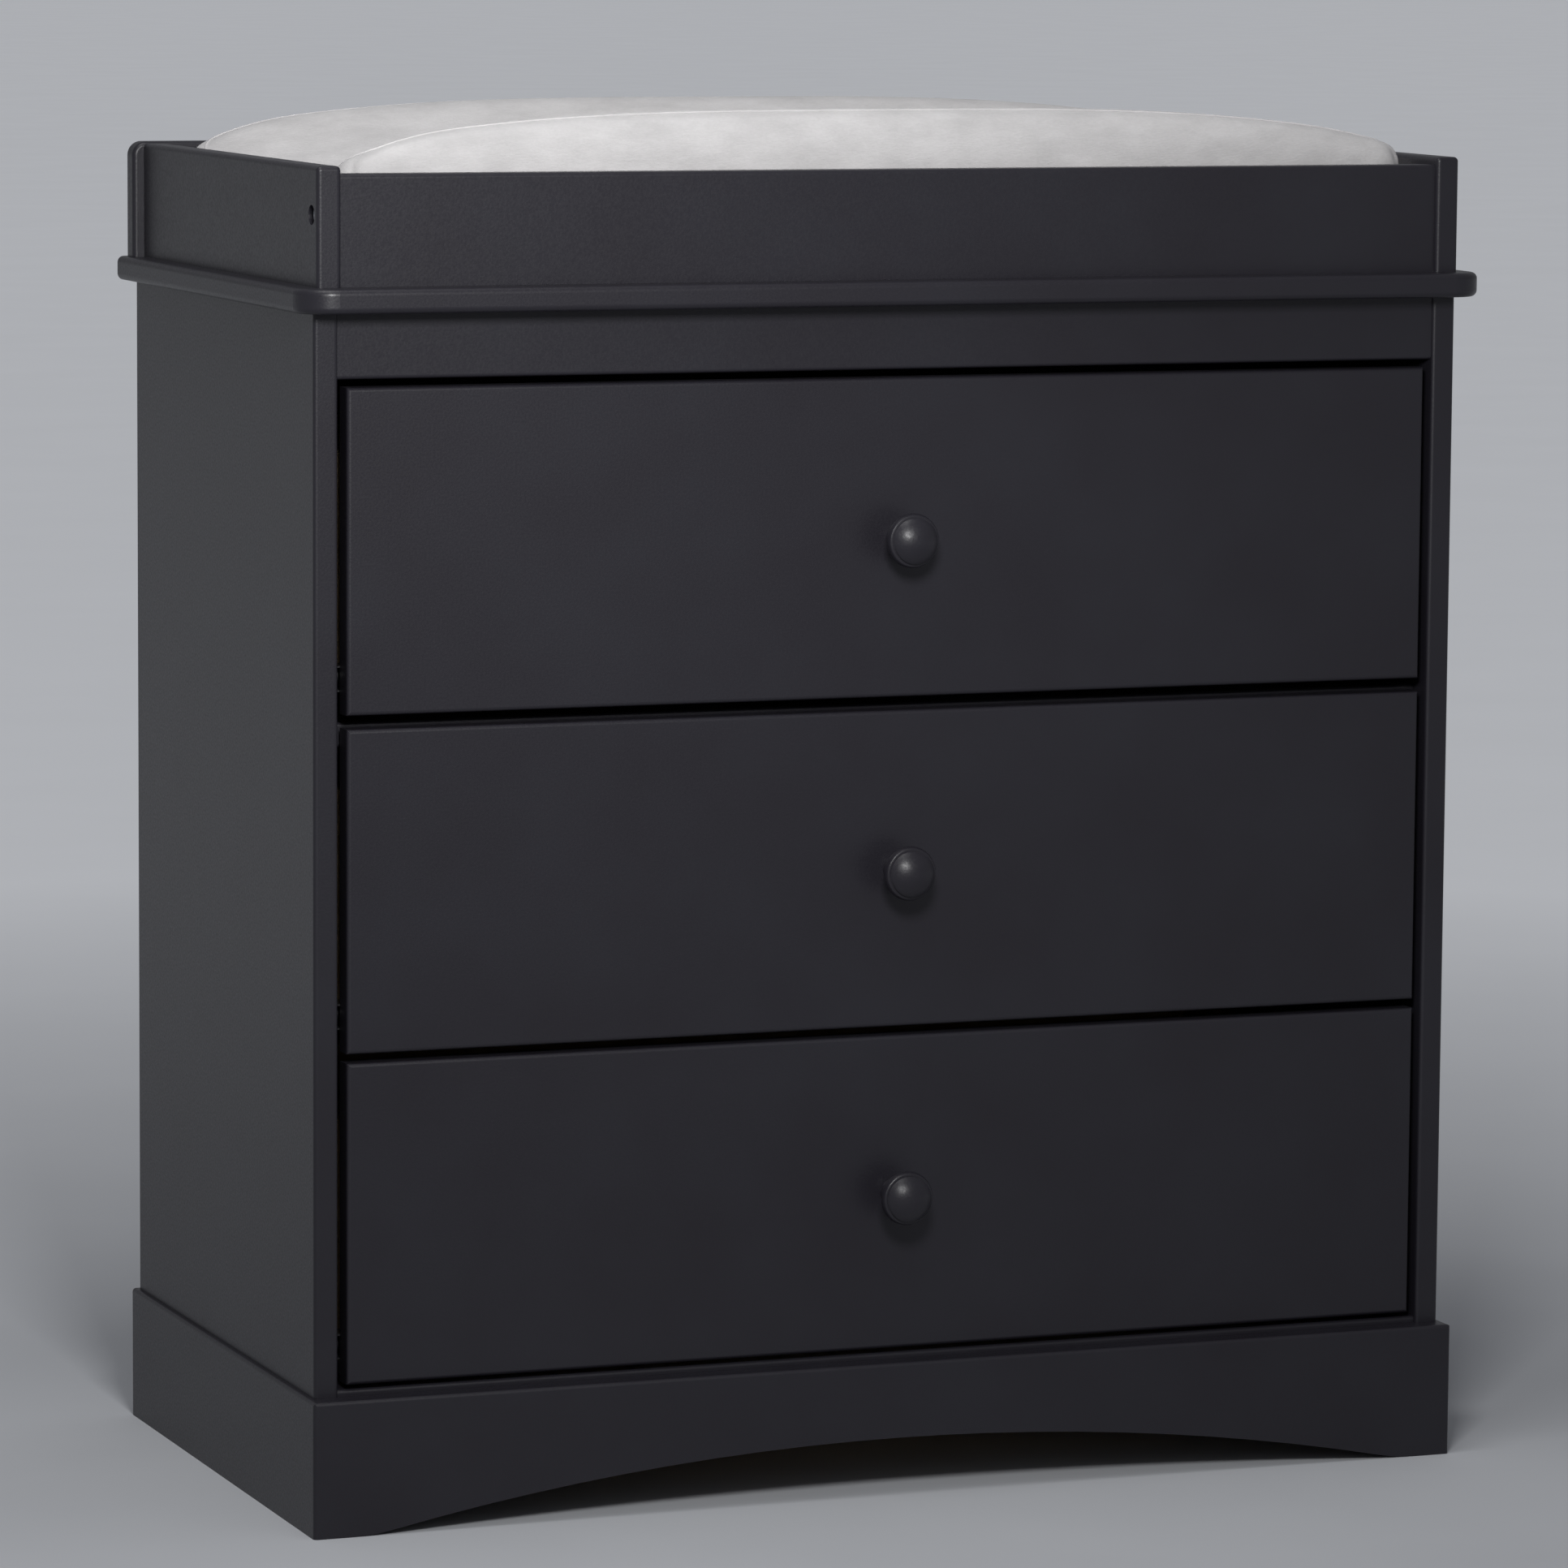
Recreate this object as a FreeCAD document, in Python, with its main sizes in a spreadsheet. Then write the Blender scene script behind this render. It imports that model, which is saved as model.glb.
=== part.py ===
import FreeCAD, Part
import math
import operator
import os
import Sketcher
from FreeCAD import Placement, Rotation, Vector

# A three-drawer dresser with a removable changing tray and a contoured changing pad.
# Millimetres, +Z up, +X to the right and +Y to the back as someone stands in front of it.
# The origin is the centre of the whole object's box, on the floor.

doc = FreeCAD.newDocument("changing_table")
sheet = doc.addObject("Spreadsheet::Sheet", "Sizes")

SIZES = {
    # case
    "case_width": 940,            # over the two side panels
    "case_depth": 470,            # front edge to back edge of a side panel
    "carcass_top": 925.5,         # floor to the underside of the top
    "board": 19,                  # thickness of the case's boards
    "board_edge": 3,              # rounding of the boards' edges
    "rabbet_width": 9,            # rabbet in a side panel's back edge, for the back
    "rabbet_depth": 4,
    "back_sheet": 3,              # thickness of the back's hardboard
    "back_slack": 0.5,            # play round the back's sheets
    "joiner_wall": 0.9,           # wall of the strip that joins the back's two sheets
    "joiner_height": 14,
    # top
    "top_board": 19,
    "top_side_overhang": 16,
    "top_front_overhang": 27,
    "back_overhang": 5,           # top and plinth behind the case's back edge
    "top_front_corner": 28,       # plan radius of the top's front corners
    "top_back_corner": 6,
    "top_edge": 5,
    # plinth
    "plinth_height": 105,
    "plinth_side_step": 5,        # plinth outside the side panels
    "plinth_front_step": 15,      # plinth in front of the side panels
    "arch_foot": 29,              # width of the flat foot at each end of the arch
    "arch_foot_curve": 160,       # soft curve where the arch meets a foot
    "arch_rise": 46,
    "block_side": 30,             # square corner blocks inside the plinth
    "block_lift": 10,             # corner blocks above the floor
    # rails
    "apron_height": 50,
    "apron_setback": 2.5,
    "back_rail_height": 60,
    "rail_depth": 60,             # depth of the rails that lie flat
    "bottom_rail_step": 5,        # front bottom rail above the plinth
    "bottom_rail_setback": 0,     # front bottom rail behind the plinth's front board; 0 lies against it
    "middle_rail_setback": 25,
    "middle_rail_rise": 3,        # middle rail's top above the middle drawer's front
    # gaps round the drawer fronts
    "side_gap": 7,
    "apron_gap": 6,
    "upper_gap": 10.5,
    "lower_gap": 7,
    "bottom_gap": 4,
    # drawers
    "front_board": 18,
    "front_edge": 3,
    "box_board": 12,
    "box_back_room": 52,          # drawer box to the case's back edge
    "box_rise": 16,               # box's lower edge above the front's lower edge
    "box_drop": 50,               # box's upper edge below the front's upper edge
    "box_edge": 1.5,              # rounding of the box's upper edges
    "bottom_sheet": 4,
    "bottom_lift": 8,             # drawer bottom above the box's lower edge
    "groove": 5,                  # depth of the grooves that hold the drawer bottom
    "play": 0.1,                  # clearance of one fixed piece in another
    "hole_end_room": 1,           # a blind hole past the end of its screw
    # knobs
    "knob_projection": 43,
    "knob_foot": 22,
    "knob_waist_curve": 26,
    "knob_neck": 28,              # where the waist flares into the ring
    "knob_neck_place": 14.5,      # behind the dome's rim, as the next two are
    "knob_ring": 42,
    "knob_ring_place": 7.8,
    "knob_ring_round": 7.5,
    "knob_step": 1.2,             # each step in front of the ring is this much smaller in radius
    "knob_step_place": 3.6,
    "knob_groove": 1.5,
    "knob_dome": 35,
    "knob_dome_rise": 7.4,
    "knob_screw": 4,
    "knob_screw_head": 8.4,
    "knob_screw_head_height": 2.4,
    "knob_screw_grip": 14,        # screw inside the knob
    # drawer runners
    "runner_gap": 12.7,           # drawer box to side panel, on each side
    "runner_steel": 1.2,
    "channel_lift": 0.3,          # case member above the drawer box's lower edge
    "channel_headroom": 0.6,      # over the roller inside the case member
    "flange_gap": 0.5,            # drawer member's outer flange above the case member
    "channel_start": 20,          # case member behind the case's front
    "channel_notch": 28,          # its upper flange starts this far back
    "roller": 15,
    "roller_width": 7,
    "roller_pin": 5,
    "front_roller_place": 14,     # axis behind the channel's front end
    "back_roller_place": 18,      # axis in front of the drawer member's back end
    "rolling_gap": 0.1,
    "runner_clearance": 1,
    "runner_foot_setback": 2,     # flange under the box's side is this much narrower than it
    "screw_inset": 55,            # runner screws to the case member's ends
    "screw_back_inset": 89,
    "wood_screw": 3.4,
    "wood_screw_head": 6.6,
    "wood_screw_grip": 12,
    # cam joints between rails and side panels
    "cam": 14.8,
    "cam_height": 12,
    "cam_recess": 0.5,            # cam's face below the rail's, and room behind the cam
    "cam_place": 34,              # cam's axis to the rail's end
    "cam_bolt": 6.8,
    "cam_bolt_thread": 5,
    "cam_bolt_grip": 11,
    "cam_bolt_neck": 3,
    "cam_bolt_head": 3,           # length of the head that the cam grips
    "cam_bolt_reach": 2,          # head's end past the cam's axis
    "driver_slot": 1.5,           # screwdriver slot in a cam or a barrel nut
    "driver_slot_depth": 2,
    # holes for a wall anchor in the upper back rail
    "anchor_spacing": 400,
    "anchor_hole": 5,
    # changing tray
    "tray_side_inset": 1,         # tray's sides inside the side panels' outer faces
    "tray_front_step": 5.3,       # tray's sides in front of the case's front
    "tray_rail_setback": 4.5,     # tray's front rail behind its sides' front edges
    "tray_back_inset": 18,        # tray's sides end this far in front of the case's back edge
    "tray_side_height": 90,
    "tray_rail_height": 84,
    "tray_back_height": 91.5,
    "tray_back_step": 9,          # tray's back rail outside its sides
    "tray_board": 19,
    "tray_edge": 3.5,
    "tray_back_corner": 11,
    "tray_bolt_lift": 53.5,
    "tray_bolt": 6,
    "tray_bolt_length": 50,
    "tray_bolt_head": 11.3,
    "tray_bolt_head_height": 4.5,
    "counterbore": 15,
    "counterbore_depth": 7.5,
    "socket": 4,
    "socket_depth": 3,
    "barrel_nut": 10,
    "barrel_nut_length": 13,
    "barrel_nut_place": 33,       # nut's axis to the end of the board that holds it
    "bracket_width": 12,
    "bracket_leg": 20,
    "bracket_steel": 2,
    "bracket_screw_grip": 10,
    "screw_head": 1,              # height of a small screw's head
    "bevel": 0.6,
    # changing pad
    "pad_end_gap": 8,             # pad to the tray's sides
    "pad_side_gap": 2.9,          # pad to the tray's rails
    "pad_height": 130,
    "pad_bow": 18.4,              # raised sides lower at the ends than in the middle
    "pad_end_corner": 40,
    "pad_plan_corner": 44,
    "pad_crest": 24,              # rounding of the raised sides' crests
    "pad_valley": 50,             # height of the lying surface
    "pad_valley_curve": 120,
    "pad_foot_curve": 6,
    "soft_gap": 0.3,
}


class Size:
    """A length that carries both its formula, in terms of the sheet, and its present value."""

    def __init__(self, text, value):
        self.text = text
        self.value = value

    def __add__(self, other):
        return combine(self, "+", other)

    def __radd__(self, other):
        return combine(other, "+", self)

    def __sub__(self, other):
        return combine(self, "-", other)

    def __rsub__(self, other):
        return combine(other, "-", self)

    def __mul__(self, other):
        return combine(self, "*", other)

    def __rmul__(self, other):
        return combine(other, "*", self)

    def __truediv__(self, other):
        return combine(self, "/", other)


SIGNS = {"+": operator.add, "-": operator.sub, "*": operator.mul, "/": operator.truediv}


def as_size(thing):
    return thing if isinstance(thing, Size) else Size(str(thing), float(thing))


def combine(left, sign, right):
    left = as_size(left)
    right = as_size(right)
    return Size(f"({left.text} {sign} {right.text})", SIGNS[sign](left.value, right.value))


class Values:
    """Every cell of the sheet, as an attribute that is a Size."""


v = Values()
for row, (alias, number) in enumerate(SIZES.items(), 1):
    sheet.set(f"A{row}", alias)
    sheet.set(f"B{row}", str(number))
    sheet.setAlias(f"B{row}", alias)
    setattr(v, alias, Size(f"Sizes.{alias}", float(number)))
doc.recompute()


# ---------------------------------------------------------------- sketches and features

NORMAL_SIGN = {"X": 1, "Y": -1, "Z": 1}       # which way each origin plane's normal points
PLANE = {"X": "YZ_Plane", "Y": "XZ_Plane", "Z": "XY_Plane"}
LEAST_CUT = 0.5                               # cubic millimetres that each cut has to remove
cuts = []                                     # every cutting feature, for the check at the end


def bind(thing, name, size):
    thing.setExpression(name, as_size(size).text)


def new_sketch(body, axis, start=0):
    """A sketch across an axis of the body, at start along it. It is drawn in the other two axes."""
    sketch = body.newObject("Sketcher::SketchObject", f"{body.Name}_sketch")
    plane = [p for p in body.Origin.OriginFeatures if p.Role == PLANE[axis]][0]
    sketch.AttachmentSupport = [(plane, "")]
    sketch.MapMode = "FlatFace"
    bind(sketch, "AttachmentOffset.Base.z", as_size(start) * NORMAL_SIGN[axis])
    return sketch


def pin(sketch, side, end, place):
    """Hold one end of a side, or a circle's centre, at its place from the sketch's origin."""
    for kind, size, zero_axis in (("DistanceX", place[0], -2), ("DistanceY", place[1], -1)):
        size = as_size(size)
        if size.text == "0":
            sketch.addConstraint(Sketcher.Constraint("PointOnObject", side, end, zero_axis))
            continue
        number = sketch.addConstraint(Sketcher.Constraint(kind, -1, 1, side, end, size.value))
        sketch.renameConstraint(number, f"place_{number}")
        bind(sketch, f"Constraints.place_{number}", size)


def arc_between(here, there, radius, turn):
    """The lesser arc from here to there; its centre is on the left where turn is 1, on the right where -1."""
    chord = there - here
    left = Vector(-chord.y, chord.x, 0).normalize()
    height = math.sqrt(max(radius ** 2 - (chord.Length / 2) ** 2, 0))
    centre = (here + there) / 2 + left * height * turn
    first, last = (here, there) if turn > 0 else (there, here)
    start = math.atan2(first.y - centre.y, first.x - centre.x)
    stop = math.atan2(last.y - centre.y, last.x - centre.x)
    if stop < start:
        stop += 2 * math.pi
    return Part.ArcOfCircle(Part.Circle(centre, Vector(0, 0, 1), radius), start, stop)


def outline(sketch, points, arcs=None):
    """A closed chain through the points. arcs gives a side's radius and turn; other sides are straight."""
    arcs = arcs or {}
    ends = []
    for number, place in enumerate(points):
        following = points[(number + 1) % len(points)]
        here = Vector(as_size(place[0]).value, as_size(place[1]).value, 0)
        there = Vector(as_size(following[0]).value, as_size(following[1]).value, 0)
        if number in arcs:
            radius, turn = arcs[number]
            side = sketch.addGeometry(arc_between(here, there, as_size(radius).value, turn), False)
            ends.append((side, 1, 2) if turn > 0 else (side, 2, 1))
            rule = sketch.addConstraint(Sketcher.Constraint("Radius", side, as_size(radius).value))
            sketch.renameConstraint(rule, f"radius_{rule}")
            bind(sketch, f"Constraints.radius_{rule}", radius)
        else:
            side = sketch.addGeometry(Part.LineSegment(here, there), False)
            ends.append((side, 1, 2))
    for number, (side, start, stop) in enumerate(ends):
        next_side, next_start, _ = ends[(number + 1) % len(ends)]
        sketch.addConstraint(Sketcher.Constraint("Coincident", side, stop, next_side, next_start))
        pin(sketch, side, start, points[number])


def rectangle(x_low, x_high, y_low, y_high):
    return [(x_low, y_low), (x_high, y_low), (x_high, y_high), (x_low, y_high)]


def new_body(label, place=(0, 0, 0), turn=None):
    body = doc.addObject("PartDesign::Body", label)
    body.Label = label
    if turn:
        body.Placement = Placement(Vector(), turn)
    for axis, size in zip("xyz", place):
        bind(body, f"Placement.Base.{axis}", size)
    return body


def add(body, axis, points, start, length, arcs=None):
    """Add a prism of the outline, from start along the axis's positive direction."""
    sketch = new_sketch(body, axis, start)
    outline(sketch, points, arcs)
    pad = body.newObject("PartDesign::Pad", f"{body.Name}_pad")
    pad.Profile = sketch
    pad.Reversed = NORMAL_SIGN[axis] < 0
    bind(pad, "Length", length)
    body.Tip = pad
    return pad


def add_round(body, axis, place, start, diameter, length):
    """Add a round boss, from start along the axis's positive direction."""
    sketch = new_sketch(body, axis, start)
    circle(sketch, place, diameter)
    pad = body.newObject("PartDesign::Pad", f"{body.Name}_boss")
    pad.Profile = sketch
    pad.Reversed = NORMAL_SIGN[axis] < 0
    bind(pad, "Length", length)
    body.Tip = pad
    return pad


def circle(sketch, place, diameter):
    centre = Vector(as_size(place[0]).value, as_size(place[1]).value, 0)
    radius = as_size(diameter).value / 2
    side = sketch.addGeometry(Part.Circle(centre, Vector(0, 0, 1), radius), False)
    pin(sketch, side, 3, place)
    rule = sketch.addConstraint(Sketcher.Constraint("Diameter", side, radius * 2))
    sketch.renameConstraint(rule, f"diameter_{rule}")
    bind(sketch, f"Constraints.diameter_{rule}", diameter)


def pocket(body, axis, sketch, length):
    cut = body.newObject("PartDesign::Pocket", f"{body.Name}_pocket")
    cut.Profile = sketch
    cut.Reversed = NORMAL_SIGN[axis] > 0
    bind(cut, "Length", length)
    body.Tip = cut
    cuts.append(cut)


def cut_outline(body, axis, points, start, length, arcs=None):
    """Cut a prism of the outline away, from start along the axis's positive direction."""
    sketch = new_sketch(body, axis, start)
    outline(sketch, points, arcs)
    pocket(body, axis, sketch, length)


def cut_round(body, axis, places, start, diameter, length):
    """Cut round holes, from start along the axis's positive direction."""
    sketch = new_sketch(body, axis, start)
    for place in places:
        circle(sketch, place, diameter)
    pocket(body, axis, sketch, length)


FACES = {"x-": ("XMin", "XMin"), "x+": ("XMax", "XMax"), "y-": ("YMin", "YMin"),
         "y+": ("YMax", "YMax"), "z-": ("ZMin", "ZMin"), "z+": ("ZMax", "ZMax")}


def lies_on(edge, box, face):
    level = getattr(box, FACES[face][0])
    axis = face[0].upper()
    low = getattr(edge.BoundBox, f"{axis}Min")
    high = getattr(edge.BoundBox, f"{axis}Max")
    return abs(low - level) < 0.01 and abs(high - level) < 0.01


def ease(body, radius, *corners):
    """Round the edges that lie on every face named in a corner, such as "x+y-"."""
    doc.recompute()
    base = body.Tip
    box = base.Shape.BoundBox
    chosen = []
    for number, edge in enumerate(base.Shape.Edges, 1):
        for corner in corners:
            faces = [corner[i:i + 2] for i in range(0, len(corner), 2)]
            if all(lies_on(edge, box, face) for face in faces):
                chosen.append(f"Edge{number}")
                break
    fillet = body.newObject("PartDesign::Fillet", f"{body.Name}_round")
    fillet.Base = (base, chosen)
    bind(fillet, "Radius", radius)
    body.Tip = fillet


def board(label, x, y, z):
    """A rectangular board between two levels on each axis. Its body's own origin is its low corner."""
    body = new_body(label, (x[0], y[0], z[0]))
    add(body, "Z", rectangle(0, x[1] - x[0], 0, y[1] - y[0]), 0, z[1] - z[0])
    return body


def turned(label, points, arcs=None, place=(0, 0, 0), turn=None):
    """A round piece about its own Y axis. Its outline's points are radius and distance along Y."""
    body = new_body(label, place, turn)
    sketch = new_sketch(body, "Z")
    outline(sketch, points, arcs)
    spin = body.newObject("PartDesign::Revolution", f"{body.Name}_turning")
    spin.Profile = sketch
    spin.ReferenceAxis = (sketch, ["V_Axis"])
    spin.Angle = 360
    body.Tip = spin
    return body


ALONG_X = Rotation(Vector(0, 0, 1), -90)      # a turned piece's own Y axis along +X
ALONG_Y = None                                # no turn: the axis stays along +Y

nodes = {}


def keep(thing, label=None):
    """List an object as a sub-part of the finished model."""
    if label:
        thing.Label = label
    nodes[thing.Label] = thing
    return thing


def mirrored(source, label):
    """The same piece on the other side of the object's middle plane."""
    copy = doc.addObject("Part::Mirroring", label)
    copy.Source = source
    copy.Base = Vector(0, 0, 0)
    copy.Normal = Vector(1, 0, 0)
    copy.Label = label
    return copy


def group(label, pieces):
    """Identical small pieces as one sub-part of separate solids."""
    compound = doc.addObject("Part::Compound", label)
    compound.Links = pieces
    return keep(compound, label)


def both_sides(label, pieces):
    """The right-hand pieces and their mirror images as one sub-part."""
    copies = [mirrored(piece, f"{piece.Label}_left") for piece in pieces]
    return group(label, list(pieces) + copies)


# ---------------------------------------------------------------- shared places

half = v.case_width / 2
inner = half - v.board                        # inner face of a side panel
front = (v.knob_projection - v.case_depth - v.back_overhang) / 2
back = front + v.case_depth
back_line = back + v.back_overhang            # back of the top and of the plinth's sides
back_face = back - v.rabbet_depth             # rails end here and the back lies against them
top_face = v.carcass_top + v.top_board

plinth_half = half + v.plinth_side_step
plinth_inner = plinth_half - v.board
plinth_front = front - v.plinth_front_step
flat_rail = (inner * -1, inner)

front_low = v.plinth_height + v.bottom_rail_step + v.bottom_gap
front_height = (v.carcass_top - v.apron_height - v.apron_gap - v.upper_gap - v.lower_gap - front_low) / 3
DRAWERS = {
    "lower": front_low,
    "middle": front_low + front_height + v.lower_gap,
    "upper": front_low + front_height * 2 + v.lower_gap + v.upper_gap,
}
front_half = inner - v.side_gap
box_half = inner - v.runner_gap
box_front = front + v.front_board
box_back = back - v.box_back_room
box_depth = box_back - box_front
box_height = front_height - v.box_rise - v.box_drop

middle_rail_top = DRAWERS["middle"] + front_height + v.middle_rail_rise

cam_bore_depth = v.cam_height + v.cam_recess * 2

# Cam joints: where the cam's bolt runs, as Y and Z, and which face of the rail the cam sits in.
CAM_JOINTS = {
    "top_front": (front + v.apron_setback + v.board / 2, v.carcass_top - v.apron_height / 2),
    "top_rear": (back_face - v.board / 2, v.carcass_top - v.back_rail_height / 2),
    "middle": (front + v.middle_rail_setback + v.rail_depth / 2, middle_rail_top - v.board / 2),
    "bottom_rear": (back_face - v.rail_depth / 2, v.plinth_height + v.board / 2),
}

# The back roller fits in the channel, and the drawer member's flange clears the channel's top.
channel_height = v.roller + v.channel_headroom + v.runner_steel * 2
flange_top = v.channel_lift + channel_height + v.flange_gap + v.runner_steel
front_roller_lift = flange_top - v.runner_steel - v.rolling_gap - v.roller / 2
back_roller_lift = v.channel_lift + v.runner_steel + v.rolling_gap + v.roller / 2
screw_lift = v.channel_lift + channel_height / 2
screw_places = {"front": v.channel_start + v.screw_inset,
                "back": v.channel_start + box_depth - v.screw_back_inset}


# ---------------------------------------------------------------- case


def side_panels():
    panel = board("right_side_panel", (inner, half), (front, back), (v.plinth_height, v.carcass_top))
    tall = v.carcass_top - v.plinth_height
    ease(panel, v.board_edge, "x+y-", "x-y-")
    rabbet = rectangle(0, v.rabbet_width, v.case_depth - v.rabbet_depth, v.case_depth)
    cut_outline(panel, "Z", rabbet, 0, tall)
    joints = [(y - front, z - v.plinth_height) for y, z in CAM_JOINTS.values()]
    cut_round(panel, "X", joints, 0, v.cam_bolt_thread + v.play, v.cam_bolt_grip)
    screws = []
    for low in DRAWERS.values():
        for place in screw_places.values():
            screws.append((place, low + v.box_rise + screw_lift - v.plinth_height))
    cut_round(panel, "X", screws, 0, v.wood_screw + v.play, v.wood_screw_grip)
    keep(panel)
    keep(mirrored(panel, "left_side_panel"))


def top_panel():
    wide = half + v.top_side_overhang
    panel = board("top_panel", (wide * -1, wide), (front - v.top_front_overhang, back_line),
                  (v.carcass_top, top_face))
    ease(panel, v.top_front_corner, "x-y-", "x+y-")
    ease(panel, v.top_back_corner, "x-y+", "x+y+")
    ease(panel, v.top_edge, "z+", "z-")
    y = tray_back - v.bracket_leg / 2 - (front - v.top_front_overhang)
    holes = [(wide - bracket_middle, y), (wide + bracket_middle, y)]
    cut_round(panel, "Z", holes, v.top_board - v.bracket_screw_grip, v.wood_screw + v.play,
              v.bracket_screw_grip)
    keep(panel)


def cam_bores(rail, span, bolt_y, bolt_z, cam_axis, cam_start):
    """Bores in both ends of a rail for the cams' bolts, and in one face for the cams."""
    end = v.cam_place + v.cam_bolt_reach + v.hole_end_room
    reach = v.cam_place - v.cam / 4
    bores = ((end, v.cam_bolt_thread + 4 * v.play), (reach, v.cam_bolt + 4 * v.play))
    for deep, bore in bores:
        cut_round(rail, "X", [(bolt_y, bolt_z)], 0, bore, deep)
        cut_round(rail, "X", [(bolt_y, bolt_z)], span - deep, bore, deep)
    across = bolt_z if cam_axis == "Y" else bolt_y
    places = [(v.cam_place, across), (span - v.cam_place, across)]
    cut_round(rail, cam_axis, places, cam_start, v.cam + 2 * v.play, cam_bore_depth)


def rails():
    span = inner * 2

    y = front + v.apron_setback
    rail = board("top_front_rail", flat_rail, (y, y + v.board),
                 (v.carcass_top - v.apron_height, v.carcass_top))
    ease(rail, v.board_edge, "y-z-")
    cam_bores(rail, span, v.board / 2, v.apron_height / 2, "Y", v.board - cam_bore_depth)
    keep(rail)

    low = v.carcass_top - v.back_rail_height
    rail = board("top_rear_rail", flat_rail, (back_face - v.board, back_face), (low, v.carcass_top))
    cam_bores(rail, span, v.board / 2, v.back_rail_height / 2, "Y", 0)
    anchors = [(inner - v.anchor_spacing / 2, v.back_rail_height / 2),
               (inner + v.anchor_spacing / 2, v.back_rail_height / 2)]
    cut_round(rail, "Y", anchors, 0, v.anchor_hole, v.board)
    keep(rail)

    y = front + v.middle_rail_setback
    rail = board("middle_rail", flat_rail, (y, y + v.rail_depth),
                 (middle_rail_top - v.board, middle_rail_top))
    ease(rail, v.board_edge, "y-z+", "y-z-")
    cam_bores(rail, span, v.rail_depth / 2, v.board / 2, "Z", 0)
    keep(rail)

    y = plinth_front + v.board + v.bottom_rail_setback
    high = v.plinth_height + v.bottom_rail_step
    rail = board("bottom_front_rail", flat_rail, (y, y + v.rail_depth), (high - v.board, high))
    ease(rail, v.board_edge, "y-z+")
    keep(rail)

    high = v.plinth_height + v.board
    rail = board("bottom_rear_rail", flat_rail, (back_face - v.rail_depth, back_face),
                 (v.plinth_height, high))
    cam_bores(rail, span, v.rail_depth / 2, v.board / 2, "Z", 0)
    keep(rail)


def cam_fittings():
    """A cam and its bolt at each end of four rails, drawn at the right-hand end."""
    face_of = {"top_front": "back", "top_rear": "front", "middle": "under", "bottom_rear": "under"}
    turns = {"back": None, "front": Rotation(Vector(0, 0, 1), 180), "under": Rotation(Vector(1, 0, 0), -90)}
    half_board = v.board / 2
    deep = v.cam_height + v.cam_recess
    cams = []
    bolts = []
    for name, (y, z) in CAM_JOINTS.items():
        face = face_of[name]
        x = inner - v.cam_place
        places = {
            "back": (x, y + half_board, z),
            "front": (x, y - half_board, z),
            "under": (x, y, z - half_board),
        }
        # The cam's own +Y points out of its bore, so the cam lies behind the rail's face.
        body = rectangle(0, v.cam / 2, deep * -1, v.cam_recess * -1)
        cam = turned(f"{name}_cam", body, None, places[face], turns[face])
        # The way in for the bolt opens towards the rail's end, which a half turn puts on the other side.
        near = v.cam / 4
        low, high = (v.cam * -1, near) if face == "front" else (near * -1, v.cam)
        way = v.cam_bolt / 2 + v.play
        cut_outline(cam, "Z", rectangle(low, high, v.board * -1, way - half_board), way * -1, way * 2)
        slot = v.driver_slot / 2
        cross = rectangle(v.cam / 4 * -1, v.cam / 4, (v.driver_slot_depth + v.cam_recess) * -1, 0)
        cut_outline(cam, "Z", cross, slot * -1, v.driver_slot)
        cams.append(cam)
        grip = v.cam_bolt_grip - v.hole_end_room
        thread = v.cam_bolt_thread / 2
        collar = v.cam_bolt / 2
        neck = v.cam_bolt_neck / 2
        shoulder = v.cam_place - v.cam / 2 - v.cam_recess * 2
        tip = v.cam_place + v.cam_bolt_reach
        grasp = tip - v.cam_bolt_head
        points = [(0, grip), (thread, grip), (thread, 0), (collar, 0), (collar, shoulder * -1),
                  (neck, shoulder * -1), (neck, grasp * -1), (thread, grasp * -1),
                  (thread, tip * -1), (0, tip * -1)]
        bolts.append(turned(f"{name}_cam_bolt", points, None, (inner, y, z), ALONG_X))
    both_sides("rail_cam_locks", cams)
    both_sides("rail_cam_bolts", bolts)


def back_sheets():
    wide = inner + v.rabbet_width - v.back_slack
    low = v.plinth_height + v.back_slack
    high = v.carcass_top - v.back_slack
    middle = (low + high) / 2
    y = (back_face, back_face + v.back_sheet)
    joint = v.joiner_wall / 2 + v.play
    lower = board("lower_back_panel", (wide * -1, wide), y, (low, middle - joint))
    keep(lower)
    upper = board("upper_back_panel", (wide * -1, wide), y, (middle + joint, high))
    lift = v.carcass_top - v.back_rail_height / 2 - (middle + joint)
    anchors = [(wide - v.anchor_spacing / 2, lift), (wide + v.anchor_spacing / 2, lift)]
    cut_round(upper, "Y", anchors, 0, v.anchor_hole, v.back_sheet)
    keep(upper)

    # H-section strip, open above and below for the two sheets.
    joiner = new_body("back_panel_joiner", ((inner - v.back_slack) * -1, back_face, middle))
    wall = v.joiner_wall
    tall = v.joiner_height / 2
    web = wall / 2
    near = v.play * -1
    far = v.back_sheet + v.play
    points = [(near - wall, tall * -1), (near, tall * -1), (near, web * -1), (far, web * -1),
              (far, tall * -1), (far + wall, tall * -1), (far + wall, tall), (far, tall), (far, web),
              (near, web), (near, tall), (near - wall, tall)]
    add(joiner, "X", points, 0, (inner - v.back_slack) * 2)
    keep(joiner)


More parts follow.
